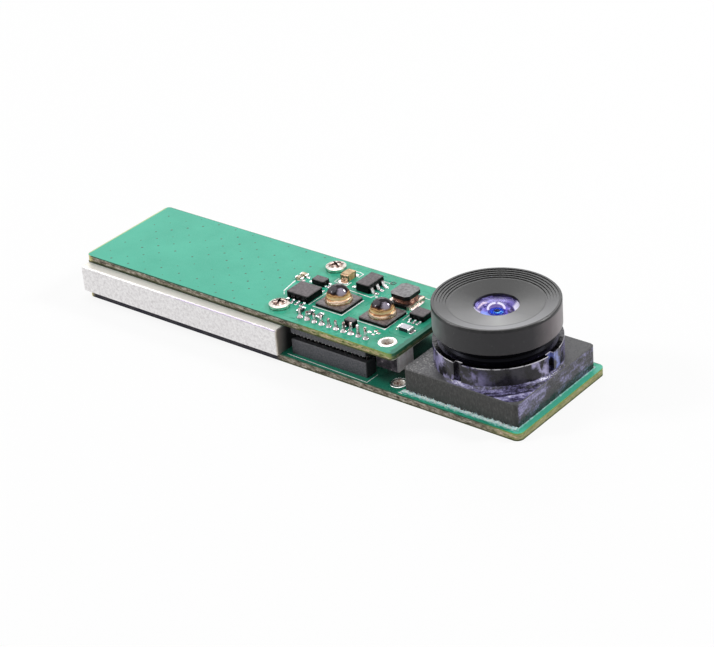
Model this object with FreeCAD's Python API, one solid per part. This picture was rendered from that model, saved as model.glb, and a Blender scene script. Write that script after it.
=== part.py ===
import FreeCAD, Part
import math
import os

# Board-level camera module, in millimetres.
# The origin is the middle of the main board's underside.
# +X runs along the board towards the lens, +Y away from the connector side, +Z up.

# Main board
main_length = 60.4
main_width = 16.0
main_thickness = 0.9
main_corner_radius = 0.8

# Aluminium block between the boards
block_height = 3.1
block_left_overhang = 0.15
block_near_overhang = 0.5
block_far_inset = 0.2
block_socket_clearance = 1.0
block_edge_break = 0.1

# Insulating pad on the block
pad_thickness = 0.22
pad_edge_inset = 0.12

# Upper board, which carries the infrared lamps
upper_thickness = 0.8
upper_corner_radius = 0.6
upper_left_overhang = 0.2
upper_near_inset = 0.65
upper_far_inset = 1.35
upper_lens_clearance = 1.55

# Screws that hold the upper board on the block
screw_shank_radius = 0.6
screw_head_radius = 1.17
screw_head_height = 0.7
screw_head_side = 0.38
screw_length = 2.6
screw_block_inset = 1.88
screw_edge_inset = 2.05
screw_recess_span = 1.3
screw_recess_width = 0.24
screw_recess_depth = 0.3
screw_recess_turns = (25.0, 60.0)
screw_board_clearance = 0.06
screw_thread_clearance = 0.02
screw_tip_clearance = 0.4

# Plated holes at the board corners
corner_hole_radius = 0.65
upper_hole_right_inset = 2.05
upper_hole_near_inset = 1.9
main_hole_holder_inset = 1.45
main_hole_near_inset = 1.85

# Plated nut block under the upper board's corner hole
nut_length = 3.0
nut_width = 2.8
nut_height = 1.95
nut_right_inset = 0.12
nut_near_inset = 1.0
nut_thread_radius = 0.5
nut_edge_break = 0.12

# Board-to-board connector
pin_count = 10
pin_pitch = 1.0
pin_radius = 0.17
pin_right_inset = 8.95
pin_near_inset = 1.25
pin_tail_height = 1.4
pin_floor_gap = 0.35
pin_hole_clearance = 0.02
pin_board_clearance = 0.12
housing_end_margin = 0.65
housing_near_margin = 1.05
housing_far_margin = 0.6
socket_height = 1.8
socket_cell_length = 0.7
socket_cell_width = 0.8
header_height = 0.75
housing_edge_break = 0.08
contact_thickness = 0.1
contact_width = 0.5
contact_height = 1.3
solder_foot_radius = 0.45
solder_top_radius = 0.24
solder_height = 0.3
solder_hollow = 0.04

# Infrared lamps
lamp_count = 2
lamp_pitch = 6.0
lamp_right_inset = 5.78
lamp_near_inset = 5.92
lamp_side = 3.75
lamp_package_height = 0.42
lamp_edge_break = 0.1
lamp_cup_radius = 1.55
lamp_cup_depth = 0.3
lamp_ring_inner_radius = 1.2
lamp_ring_proud = 0.2
lamp_ring_clearance = 0.02
lamp_dome_radius = 1.32
lamp_dome_centre_height = 0.93
lamp_die_side = 1.0
lamp_die_height = 0.15

# Gull-wing leads of the small chips
lead_thickness = 0.12
lead_foot = 0.28

# Chips on the upper board: insets from its right end and near edge, body, leads
driver_right_inset = 16.02
driver_near_inset = 5.25
driver_length = 2.95
driver_width = 2.65
driver_height = 0.9
driver_lead_pitch = 0.75
driver_lead_count = 4
driver_lead_width = 0.3
driver_lead_reach = 0.42

logic_right_inset = 16.25
logic_near_inset = 8.3
logic_length = 1.65
logic_width = 1.1
logic_height = 0.7
logic_lead_pitch = 0.65
logic_lead_count = 2
logic_lead_width = 0.22
logic_lead_reach = 0.42

sixlead_right_inset = 11.02
sixlead_near_inset = 10.5
sixlead_length = 1.75
sixlead_width = 2.85
sixlead_height = 1.05
sixlead_lead_pitch = 0.95
sixlead_lead_count = 3
sixlead_lead_width = 0.4
sixlead_lead_reach = 0.6

regulator_right_inset = 2.15
regulator_near_inset = 7.9
regulator_length = 1.9
regulator_width = 1.65
regulator_height = 0.75
regulator_lead_pitch = 0.65
regulator_lead_count = 3
regulator_lead_width = 0.24
regulator_lead_reach = 0.42

transistor_right_inset = 7.5
transistor_near_inset = 2.6
transistor_length = 1.25
transistor_width = 0.8
transistor_height = 0.85
transistor_lead_pitch = 0.8
transistor_lead_count = 2
transistor_lead_width = 0.3
transistor_lead_reach = 0.42

chip_edge_break = 0.07
chip_standoff = 0.06

# Power choke
choke_right_inset = 5.55
choke_near_inset = 9.8
choke_side = 3.0
choke_width = 2.9
choke_terminal_length = 0.35
choke_base_height = 0.42
choke_flange_length = 2.55
choke_flange_width = 2.7
choke_flange_height = 0.45
choke_flange_corner = 0.4
choke_post_radius = 0.75
choke_winding_radius = 1.2
choke_winding_height = 0.62

# Ceramic capacitor, flat resistor and small chip parts
capacitor_right_inset = 14.36
capacitor_near_inset = 10.85
capacitor_length = 1.55
capacitor_width = 1.0
capacitor_height = 0.8
capacitor_end_length = 0.3

resistor_right_inset = 1.95
resistor_near_inset = 4.95
resistor_length = 1.7
resistor_width = 0.9
resistor_height = 0.42
resistor_end_length = 0.3

small_length = 1.0
small_width = 0.5
small_height = 0.35
small_end_length = 0.22
small_row_count = 3
small_row_pitch = 1.3
small_row_right_inset = 14.2
small_row_near_inset = 2.35
small_pair_count = 2
small_pair_pitch = 0.85
small_pair_right_inset = 18.95
small_pair_near_inset = 7.9

# Chips on the main board, in pockets of the block
processor_side = 10.0
processor_height = 1.0
memory_length = 6.0
memory_width = 8.0
memory_height = 0.9
memory_right_inset = 3.8
pocket_clearance = 0.4
gap_pad_thickness = 0.4

# Lens holder
holder_side = 14.4
holder_base_height = 2.76
holder_right_margin = 0.75
holder_corner_radius = 0.5
holder_edge_break = 0.1
adhesive_thickness = 0.08
adhesive_width = 1.2
collar_radius = 6.87
collar_height = 2.46
collar_chamfer = 0.3
notch_count = 4
notch_width = 0.9
notch_depth = 0.45
notch_first_angle = -3.0
cavity_side = 11.5
cavity_height = 1.82
lip_opening_side = 7.0
lip_thickness = 0.4

# Image sensor under the holder
sensor_side = 9.0
sensor_height = 0.9
sensor_recess_side = 7.2
sensor_recess_depth = 0.5
sensor_die_length = 6.4
sensor_die_width = 5.2
sensor_die_height = 0.2
cover_glass_side = 8.2
cover_glass_thickness = 0.4
filter_side = 8.0
filter_thickness = 0.3

# Lens barrel: head with a stepped rim, and a threaded shank
shank_radius = 6.0
shank_clearance = 0.05
thread_pitch = 0.5
thread_depth = 0.2
focus_gap = 1.4
head_radius = 6.8
head_height = 3.0
head_bottom_chamfer = 0.15
head_top_chamfer = 0.07
rim_width = 0.3
step_count = 5
step_tread = 0.3
step_drop = 0.08
aperture_radius = 2.4
cone_drop = 0.3
aperture_wall = 0.25

# Lens elements, stacked from the front against the aperture lip
element_radius = 3.6
element_clearance = 0.02
element_clear_radius = 2.35
front_lens_edge = 1.1
front_lens_bulge = 0.45
front_lens_hollow = 0.5
front_spacer_height = 0.9
second_lens_edge = 0.8
second_lens_hollow = 0.2
rear_spacer_height = 0.6
third_lens_edge = 1.0
third_lens_bulge = 0.3
fourth_lens_edge = 1.0
fourth_lens_hollow = 0.36
fourth_lens_bulge = 0.2
retaining_ring_height = 0.75

# Places that follow from the sizes above
main_left = -main_length / 2
main_right = main_length / 2
main_near = -main_width / 2
main_far = main_width / 2
main_top = main_thickness

holder_x = main_right - holder_right_margin - holder_side / 2
holder_y = 0.0
holder_left = holder_x - holder_side / 2
holder_bottom = main_top + adhesive_thickness
base_top = holder_bottom + holder_base_height
collar_top = base_top + collar_height
cavity_top = holder_bottom + cavity_height
lip_top = cavity_top + lip_thickness

main_hole_x = holder_left - main_hole_holder_inset
main_hole_y = main_near + main_hole_near_inset

upper_left = main_left - upper_left_overhang
upper_right = holder_x - head_radius - upper_lens_clearance
upper_near = main_near + upper_near_inset
upper_far = main_far - upper_far_inset
upper_hole_x = upper_right - upper_hole_right_inset
upper_hole_y = upper_near + upper_hole_near_inset

connector_x = upper_right - pin_right_inset
connector_y = upper_near + pin_near_inset
connector_length = (pin_count - 1) * pin_pitch + 2 * housing_end_margin
housing_width = housing_near_margin + housing_far_margin
housing_y = connector_y + (housing_far_margin - housing_near_margin) / 2
pin_xs = [connector_x + (i - (pin_count - 1) / 2) * pin_pitch for i in range(pin_count)]

block_left = main_left - block_left_overhang
block_right = connector_x - connector_length / 2 - block_socket_clearance
block_near = main_near - block_near_overhang
block_far = main_far - block_far_inset
block_top = main_top + block_height
upper_bottom = block_top + pad_thickness
upper_top = upper_bottom + upper_thickness

screw_x = block_right - screw_block_inset
screw_ys = (upper_near + screw_edge_inset, upper_far - screw_edge_inset)

memory_x = block_right - memory_right_inset - memory_length / 2
processor_x = (block_left + memory_x - memory_length / 2) / 2

head_bottom = collar_top + focus_gap
head_top = head_bottom + head_height
step_bottom = head_top - step_count * step_drop
cone_bottom = step_bottom - cone_drop
stack_top = cone_bottom - aperture_wall
front_spacer_top = stack_top - front_lens_edge
second_lens_top = front_spacer_top - front_spacer_height
rear_spacer_top = second_lens_top - second_lens_edge
third_lens_top = rear_spacer_top - rear_spacer_height
fourth_lens_top = third_lens_top - third_lens_edge
retaining_ring_top = fourth_lens_top - fourth_lens_edge
shank_bottom = retaining_ring_top - retaining_ring_height


def point(x, y, z):
    return FreeCAD.Vector(x, y, z)


def box(x0, x1, y0, y1, z0, z1):
    return Part.makeBox(x1 - x0, y1 - y0, z1 - z0, point(x0, y0, z0))


def centred_box(x, y, length, width, z0, z1):
    return box(x - length / 2, x + length / 2, y - width / 2, y + width / 2, z0, z1)


def cylinder(x, y, radius, z0, z1):
    return Part.makeCylinder(radius, z1 - z0, point(x, y, z0))


def tube(x, y, outer, inner, z0, z1):
    return cylinder(x, y, outer, z0, z1).cut(cylinder(x, y, inner, z0, z1))


def upright_edges(shape):
    def is_upright(edge):
        box_ = edge.BoundBox
        return box_.XLength < 1e-6 and box_.YLength < 1e-6 and box_.ZLength > 1e-6
    return [edge for edge in shape.Edges if is_upright(edge)]


def rim_edges(shape, z):
    def is_on_plane(edge):
        return abs(edge.BoundBox.ZMin - z) < 1e-6 and abs(edge.BoundBox.ZMax - z) < 1e-6
    return [edge for edge in shape.Edges if is_on_plane(edge)]


def rounded_plate(x0, x1, y0, y1, z0, z1, radius):
    plate = box(x0, x1, y0, y1, z0, z1)
    return plate.makeFillet(radius, upright_edges(plate))


def broken_box(x, y, length, width, z0, z1, edge_break):
    """A block whose top and upright edges are broken."""
    body = centred_box(x, y, length, width, z0, z1)
    return body.makeChamfer(edge_break, upright_edges(body) + rim_edges(body, z1))


def turned(x, y, start, *steps):
    """A solid turned about the upright line at x, y.

    The half section starts at (radius, z). Each step is the next corner, or a
    pair of points: the middle and the end of an arc.
    """
    edges = []
    here = point(start[0], 0, start[1])
    first = here
    for step in steps:
        if isinstance(step[0], tuple):
            middle = point(step[0][0], 0, step[0][1])
            end = point(step[1][0], 0, step[1][1])
            edges.append(Part.Arc(here, middle, end).toShape())
        else:
            end = point(step[0], 0, step[1])
            edges.append(Part.makeLine(here, end))
        here = end
    edges.append(Part.makeLine(here, first))
    face = Part.Face(Part.Wire(edges))
    solid = face.revolve(point(0, 0, 0), point(0, 0, 1), 360)
    solid.translate(point(x, y, 0))
    return solid


def cap_middle(radius, seat, bulge):
    """A point halfway in on the half section of a spherical cap that stands on a circle."""
    ball = (radius ** 2 + bulge ** 2) / (2 * abs(bulge))
    half = radius / 2
    rise = math.sqrt(ball ** 2 - half ** 2) - (ball - abs(bulge))
    return half, seat + math.copysign(rise, bulge)


def save(name, *solids):
    shape = solids[0] if len(solids) == 1 else Part.makeCompound(list(solids))
    shape.exportStep("parts/" + name + ".step")


# Boards, block and pad

def main_board():
    board = rounded_plate(main_left, main_right, main_near, main_far, 0, main_top, main_corner_radius)
    return board.cut(cylinder(main_hole_x, main_hole_y, corner_hole_radius, 0, main_top))


def upper_board():
    board = rounded_plate(upper_left, upper_right, upper_near, upper_far,
                          upper_bottom, upper_top, upper_corner_radius)
    holes = [cylinder(upper_hole_x, upper_hole_y, corner_hole_radius, upper_bottom, upper_top)]
    for y in screw_ys:
        holes.append(cylinder(screw_x, y, screw_shank_radius + screw_board_clearance, upper_bottom, upper_top))
    for x in pin_xs:
        holes.append(cylinder(x, connector_y, pin_radius + pin_board_clearance, upper_bottom, upper_top))
    return board.cut(holes)


def block_pocket(x, length, width, chip_height):
    pocket_top = main_top + chip_height + gap_pad_thickness
    return centred_box(x, 0, length + 2 * pocket_clearance, width + 2 * pocket_clearance, main_top, pocket_top)


def heat_block():
    block = box(block_left, block_right, block_near, block_far, main_top, block_top)
    outer_edges = upright_edges(block) + rim_edges(block, block_top)
    block = block.makeChamfer(block_edge_break, outer_edges)
    cuts = [block_pocket(processor_x, processor_side, processor_side, processor_height),
            block_pocket(memory_x, memory_length, memory_width, memory_height)]
    hole_bottom = upper_top - screw_length - screw_tip_clearance
    for y in screw_ys:
        cuts.append(cylinder(screw_x, y, screw_shank_radius + screw_thread_clearance, hole_bottom, block_top))
    return block.cut(cuts)


def insulating_pad():
    pad = box(upper_left + pad_edge_inset, block_right - pad_edge_inset,
              upper_near + pad_edge_inset, upper_far - pad_edge_inset, block_top, upper_bottom)
    holes = [cylinder(screw_x, y, screw_shank_radius + screw_board_clearance, block_top, upper_bottom)
             for y in screw_ys]
    return pad.cut(holes)


def block_screw(y, recess_turn):
    head_top_z = upper_top + screw_head_height
    shoulder = upper_top + screw_head_side
    crown_middle = cap_middle(screw_head_radius, shoulder, screw_head_height - screw_head_side)
    tip = upper_top - screw_length
    screw = turned(screw_x, y, (0, tip), (screw_shank_radius, tip), (screw_shank_radius, upper_top),
                   (screw_head_radius, upper_top), (screw_head_radius, shoulder),
                   (crown_middle, (0, head_top_z)))
    for turn in (recess_turn, recess_turn + 90):
        arm = centred_box(0, 0, screw_recess_span, screw_recess_width,
                          head_top_z - screw_recess_depth, head_top_z)
        arm.rotate(point(0, 0, 0), point(0, 0, 1), turn)
        arm.translate(point(screw_x, y, 0))
        screw = screw.cut(arm)
    return screw


def corner_nut():
    right = upper_right - nut_right_inset
    near = upper_near + nut_near_inset
    nut = box(right - nut_length, right, near, near + nut_width, upper_bottom - nut_height, upper_bottom)
    nut = nut.makeChamfer(nut_edge_break, upright_edges(nut))
    thread = cylinder(upper_hole_x, upper_hole_y, nut_thread_radius, upper_bottom - nut_height, upper_bottom)
    return nut.cut(thread)


# Connector between the boards

def socket_housing():
    body = broken_box(connector_x, housing_y, connector_length, housing_width,
                      main_top, main_top + socket_height, housing_edge_break)
    cells = [centred_box(x, connector_y, socket_cell_length, socket_cell_width,
                         main_top, main_top + socket_height) for x in pin_xs]
    return body.cut(cells)


def socket_contact(x):
    """A folded spring: a floor on the board and two leaves beside the pin."""
    floor_top = main_top + contact_thickness
    leaf_top = main_top + contact_height
    inner = pin_radius + pin_hole_clearance
    outer = inner + contact_thickness
    floor = centred_box(x, connector_y, contact_width, 2 * outer, main_top, floor_top)
    near_leaf = box(x - contact_width / 2, x + contact_width / 2,
                    connector_y - outer, connector_y - inner, floor_top, leaf_top)
    far_leaf = box(x - contact_width / 2, x + contact_width / 2,
                   connector_y + inner, connector_y + outer, floor_top, leaf_top)
    return floor.fuse([near_leaf, far_leaf]).removeSplitter()


def header_strip():
    body = broken_box(connector_x, housing_y, connector_length, housing_width,
                      upper_bottom - header_height, upper_bottom, housing_edge_break)
    holes = [cylinder(x, connector_y, pin_radius + pin_hole_clearance,
                      upper_bottom - header_height, upper_bottom) for x in pin_xs]
    return body.cut(holes)


def header_pin(x):
    return cylinder(x, connector_y, pin_radius, main_top + pin_floor_gap, upper_top + pin_tail_height)


def solder_joint(x):
    bore = pin_radius + pin_hole_clearance
    middle = ((solder_foot_radius + solder_top_radius) / 2 - solder_hollow, upper_top + solder_height / 2)
    return turned(x, connector_y, (bore, upper_top), (solder_foot_radius, upper_top),
                  (middle, (solder_top_radius, upper_top + solder_height)),
                  (bore, upper_top + solder_height))


# Infrared lamps

def lamp_place(index):
    x = upper_right - lamp_right_inset - index * lamp_pitch
    return x, upper_near + lamp_near_inset


def lamp_package(index):
    x, y = lamp_place(index)
    top = upper_top + lamp_package_height
    body = broken_box(x, y, lamp_side, lamp_side, upper_top, top, lamp_edge_break)
    return body.cut(cylinder(x, y, lamp_cup_radius, top - lamp_cup_depth, top))


def lamp_ring(index):
    x, y = lamp_place(index)
    top = upper_top + lamp_package_height
    return tube(x, y, lamp_cup_radius - lamp_ring_clearance, lamp_ring_inner_radius,
                top - lamp_cup_depth, top + lamp_ring_proud)


def lamp_die(index):
    x, y = lamp_place(index)
    floor = upper_top + lamp_package_height - lamp_cup_depth
    return centred_box(x, y, lamp_die_side, lamp_die_side, floor, floor + lamp_die_height)


def lamp_dome(index):
    x, y = lamp_place(index)
    floor = upper_top + lamp_package_height - lamp_cup_depth
    seat = upper_top + lamp_package_height + lamp_ring_proud
    centre = upper_top + lamp_dome_centre_height
    stem = lamp_ring_inner_radius - lamp_ring_clearance
    foot = math.sqrt(lamp_dome_radius ** 2 - (centre - seat) ** 2)
    shoulder = lamp_dome_radius * math.sqrt(0.5)
    dome = turned(x, y, (0, floor), (stem, floor), (stem, seat), (foot, seat),
                  ((shoulder, centre + shoulder), (0, centre + lamp_dome_radius)))
    return dome.cut(lamp_die(index))


# Chips with gull-wing leads

def gull_lead(x, y, turn, z_body, z_board, width, reach):
    """A lead that leaves a body at x, y in the direction turn and bends down to the board."""
    half = lead_thickness / 2
    heel = reach - lead_foot
    knee = half + (heel - lead_thickness) / 3
    corners = [(0, z_body + half), (knee, z_body + half), (heel, z_board + lead_thickness),
               (reach, z_board + lead_thickness), (reach, z_board), (heel - half, z_board),
               (knee - half, z_body - half), (0, z_body - half)]
    outline = [point(out, -width / 2, z) for out, z in corners]
    face = Part.Face(Part.makePolygon(outline + [outline[0]]))
    lead = face.extrude(point(0, width, 0))
    lead.rotate(point(0, 0, 0), point(0, 0, 1), turn)
    lead.translate(point(x, y, 0))
    return lead


def chip_body(right_inset, near_inset, length, width, height):
    x = upper_right - right_inset
    y = upper_near + near_inset
    return broken_box(x, y, length, width, upper_top + chip_standoff, upper_top + height, chip_edge_break)


def lead_row(x, y, turn, count, pitch, height, width, reach):
    """Leads side by side along one face, centred on x, y."""
    along = math.radians(turn + 90)
    z_body = upper_top + height / 2
    leads = []
    for i in range(count):
        shift = (i - (count - 1) / 2) * pitch
        leads.append(gull_lead(x + shift * math.cos(along), y + shift * math.sin(along),
                               turn, z_body, upper_top, width, reach))
    return leads


def driver_leads():
    x = upper_right - driver_right_inset
    y = upper_near + driver_near_inset
    sides = ((-90, -driver_width / 2), (90, driver_width / 2))
    leads = []
    for turn, offset in sides:
        leads += lead_row(x, y + offset, turn, driver_lead_count, driver_lead_pitch,
                          driver_height, driver_lead_width, driver_lead_reach)
    return leads


def logic_leads():
    x = upper_right - logic_right_inset
    y = upper_near + logic_near_inset
    sides = ((0, logic_length / 2), (180, -logic_length / 2))
    leads = []
    for turn, offset in sides:
        leads += lead_row(x + offset, y, turn, logic_lead_count, logic_lead_pitch,
                          logic_height, logic_lead_width, logic_lead_reach)
    return leads


def sixlead_leads():
    x = upper_right - sixlead_right_inset
    y = upper_near + sixlead_near_inset
    sides = ((0, sixlead_length / 2), (180, -sixlead_length / 2))
    leads = []
    for turn, offset in sides:
        leads += lead_row(x + offset, y, turn, sixlead_lead_count, sixlead_lead_pitch,
                          sixlead_height, sixlead_lead_width, sixlead_lead_reach)
    return leads


def regulator_leads():
    x = upper_right - regulator_right_inset
    y = upper_near + regulator_near_inset
    sides = ((-90, -regulator_width / 2), (90, regulator_width / 2))
    leads = []
    for turn, offset in sides:
        leads += lead_row(x, y + offset, turn, regulator_lead_count, regulator_lead_pitch,
                          regulator_height, regulator_lead_width, regulator_lead_reach)
    return leads


def transistor_leads():
    x = upper_right - transistor_right_inset
    y = upper_near + transistor_near_inset
    near_row = lead_row(x, y - transistor_width / 2, -90, transistor_lead_count, transistor_lead_pitch,
                        transistor_height, transistor_lead_width, transistor_lead_reach)
    far_row = lead_row(x, y + transistor_width / 2, 90, 1, transistor_lead_pitch,
                       transistor_height, transistor_lead_width, transistor_lead_reach)
    return near_row + far_row


# Power choke

def choke_place():
    return upper_right - choke_right_inset, upper_near + choke_near_inset


def choke_core():
    x, y = choke_place()
    base_top_z = upper_top + choke_base_height
    flange_bottom = base_top_z + choke_winding_height
    base = centred_box(x, y, choke_side - 2 * choke_terminal_length, choke_width, upper_top, base_top_z)
    post = cylinder(x, y, choke_post_radius, base_top_z, flange_bottom)
    flange = centred_box(x, y, choke_flange_length, choke_flange_width,
                         flange_bottom, flange_bottom + choke_flange_height)
    flange = flange.makeChamfer(choke_flange_corner, upright_edges(flange))
    return base.fuse([post, flange])


def choke_winding():
    x, y = choke_place()
    base_top_z = upper_top + choke_base_height
    return tube(x, y, choke_winding_radius, choke_post_radius, base_top_z, base_top_z + choke_winding_height)


def choke_terminal(side):
    x, y = choke_place()
    centre = x + side * (choke_side - choke_terminal_length) / 2
    return centred_box(centre, y, choke_terminal_length, choke_width, upper_top, upper_top + choke_base_height)


# Two-ended chip parts

def part_body(x, y, length, width, height, end_length, turn):
    body = centred_box(0, 0, length - 2 * end_length, width, upper_top, upper_top + height)
    body.rotate(point(0, 0, 0), point(0, 0, 1), turn)
    body.translate(point(x, y, 0))
    return body


def part_end(x, y, length, width, height, end_length, turn):
    end = box(length / 2 - end_length, length / 2, -width / 2, width / 2, upper_top, upper_top + height)
    end = end.makeChamfer(chip_edge_break, rim_edges(end, upper_top + height))
    end.rotate(point(0, 0, 0), point(0, 0, 1), turn)
    end.translate(point(x, y, 0))
    return end


def part_ends(x, y, length, width, height, end_length, turn):
    return [part_end(x, y, length, width, height, end_length, turn + flip) for flip in (0, 180)]


def small_part_places():
    """Where the smallest chip parts stand: x, y and the turn of their length."""
    places = []
    for i in range(small_row_count):
        x = upper_right - small_row_right_inset + i * small_row_pitch
        places.append((x, upper_near + small_row_near_inset, 90))
    for i in range(small_pair_count):
        y = upper_near + small_pair_near_inset + i * small_pair_pitch
        places.append((upper_right - small_pair_right_inset, y, 0))
    return places


# Chips under the block

def processor_chip():
    return broken_box(processor_x, 0, processor_side, processor_side,
                      main_top, main_top + processor_height, chip_edge_break)


def processor_gap_pad():
    bottom = main_top + processor_height
    return centred_box(processor_x, 0, processor_side - pocket_clearance, processor_side - pocket_clearance,
                       bottom, bottom + gap_pad_thickness)


def memory_chip():
    return broken_box(memory_x, 0, memory_length, memory_width,
                      main_top, main_top + memory_height, chip_edge_break)


def memory_gap_pad():
    bottom = main_top + memory_height
    return centred_box(memory_x, 0, memory_length - pocket_clearance, memory_width - pocket_clearance,
                       bottom, bottom + gap_pad_thickness)


# Lens holder and image sensor

def holder_adhesive():
    outer = centred_box(holder_x, holder_y, holder_side, holder_side, main_top, holder_bottom)
    outer = outer.makeFillet(holder_corner_radius, upright_edges(outer))
    inner_side = holder_side - 2 * adhesive_width
    return outer.cut(centred_box(holder_x, holder_y, inner_side, inner_side, main_top, holder_bottom))


def lens_holder():
    base = centred_box(holder_x, holder_y, holder_side, holder_side, holder_bottom, base_top)
    base = base.makeFillet(holder_corner_radius, upright_edges(base))
    base = base.makeChamfer(holder_edge_break, rim_edges(base, base_top))
    holder = base.fuse(cylinder(holder_x, holder_y, collar_radius, base_top, collar_top))
    bore = shank_radius + shank_clearance
    cuts = [
        centred_box(holder_x, holder_y, cavity_side, cavity_side, holder_bottom, cavity_top),
        centred_box(holder_x, holder_y, lip_opening_side, lip_opening_side, cavity_top, lip_top),
        cylinder(holder_x, holder_y, bore, lip_top, collar_top),
        turned(holder_x, holder_y, (0, collar_top - collar_chamfer), (bore, collar_top - collar_chamfer),
               (bore + collar_chamfer, collar_top), (0, collar_top)),
    ]
    for i in range(notch_count):
        notch = box(collar_radius - notch_depth, collar_radius + notch_depth,
                    -notch_width / 2, notch_width / 2, base_top, collar_top)
        notch.rotate(point(0, 0, 0), point(0, 0, 1), notch_first_angle + i * 360 / notch_count)
        notch.translate(point(holder_x, holder_y, 0))
        cuts.append(notch)
    return holder.cut(cuts)


def sensor_package():
    package = broken_box(holder_x, holder_y, sensor_side, sensor_side,
                         main_top, main_top + sensor_height, chip_edge_break)
    return package.cut(centred_box(holder_x, holder_y, sensor_recess_side, sensor_recess_side,
                                   main_top + sensor_height - sensor_recess_depth, main_top + sensor_height))


def sensor_die():
    floor = main_top + sensor_height - sensor_recess_depth
    return centred_box(holder_x, holder_y, sensor_die_length, sensor_die_width, floor, floor + sensor_die_height)


def sensor_cover_glass():
    bottom = main_top + sensor_height
    return centred_box(holder_x, holder_y, cover_glass_side, cover_glass_side,
                       bottom, bottom + cover_glass_thickness)


def infrared_filter():
    return centred_box(holder_x, holder_y, filter_side, filter_side, cavity_top - filter_thickness, cavity_top)


# Lens

def shank_outline():
    """Corners up the threaded shank: plain inside the collar, grooved where it shows."""
    corners = [(shank_radius, shank_bottom)]
    groove = collar_top + collar_chamfer
    while groove + thread_pitch < head_bottom:
        corners.append((shank_radius, groove))
        corners.append((shank_radius - thread_depth, groove + thread_pitch / 2))
        groove += thread_pitch
        corners.append((shank_radius, groove))
    corners.append((shank_radius, head_bottom))
    return corners


def stepped_rim():
    """Corners from the rim inwards: fine steps that go down towards the cone."""
    radius = head_radius - rim_width
    z = head_top
    corners = [(radius, z)]
    for _ in range(step_count):
        z -= step_drop
        corners.append((radius, z))
        radius -= step_tread
        corners.append((radius, z))
    return corners


def lens_barrel():
    bore = element_radius + element_clearance
    corners = shank_outline()
    corners += [(head_radius - head_bottom_chamfer, head_bottom),
                (head_radius, head_bottom + head_bottom_chamfer),
                (head_radius, head_top - head_top_chamfer),
                (head_radius - head_top_chamfer, head_top)]
    corners += stepped_rim()
    corners += [(aperture_radius, cone_bottom), (aperture_radius, stack_top), (bore, stack_top),
                (bore, shank_bottom)]
    unique = [corner for i, corner in enumerate(corners) if i == 0 or corner != corners[i - 1]]
    return turned(holder_x, holder_y, *unique)


def lens_element(top, edge, top_bulge, bottom_bulge):
    """A round lens with a flat seat at its rim. A negative bulge is a hollow."""
    bottom = top - edge
    clear = element_clear_radius
    steps = [(0, bottom - bottom_bulge), (cap_middle(clear, bottom, -bottom_bulge), (clear, bottom)),
             (element_radius, bottom), (element_radius, top), (clear, top),
             (cap_middle(clear, top, top_bulge), (0, top + top_bulge))]
    return turned(holder_x, holder_y, *steps)


def stack_ring(top, height, opening):
    return tube(holder_x, holder_y, element_radius, opening, top - height, top)


def locking_lacquer():
    """A bead between the collar's chamfer and the shank."""
    bore = shank_radius + shank_clearance
    return turned(holder_x, holder_y, (shank_radius, collar_top - collar_chamfer),
                  (bore, collar_top - collar_chamfer), (bore + collar_chamfer, collar_top),
                  (shank_radius, collar_top + collar_chamfer / 2))


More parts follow.
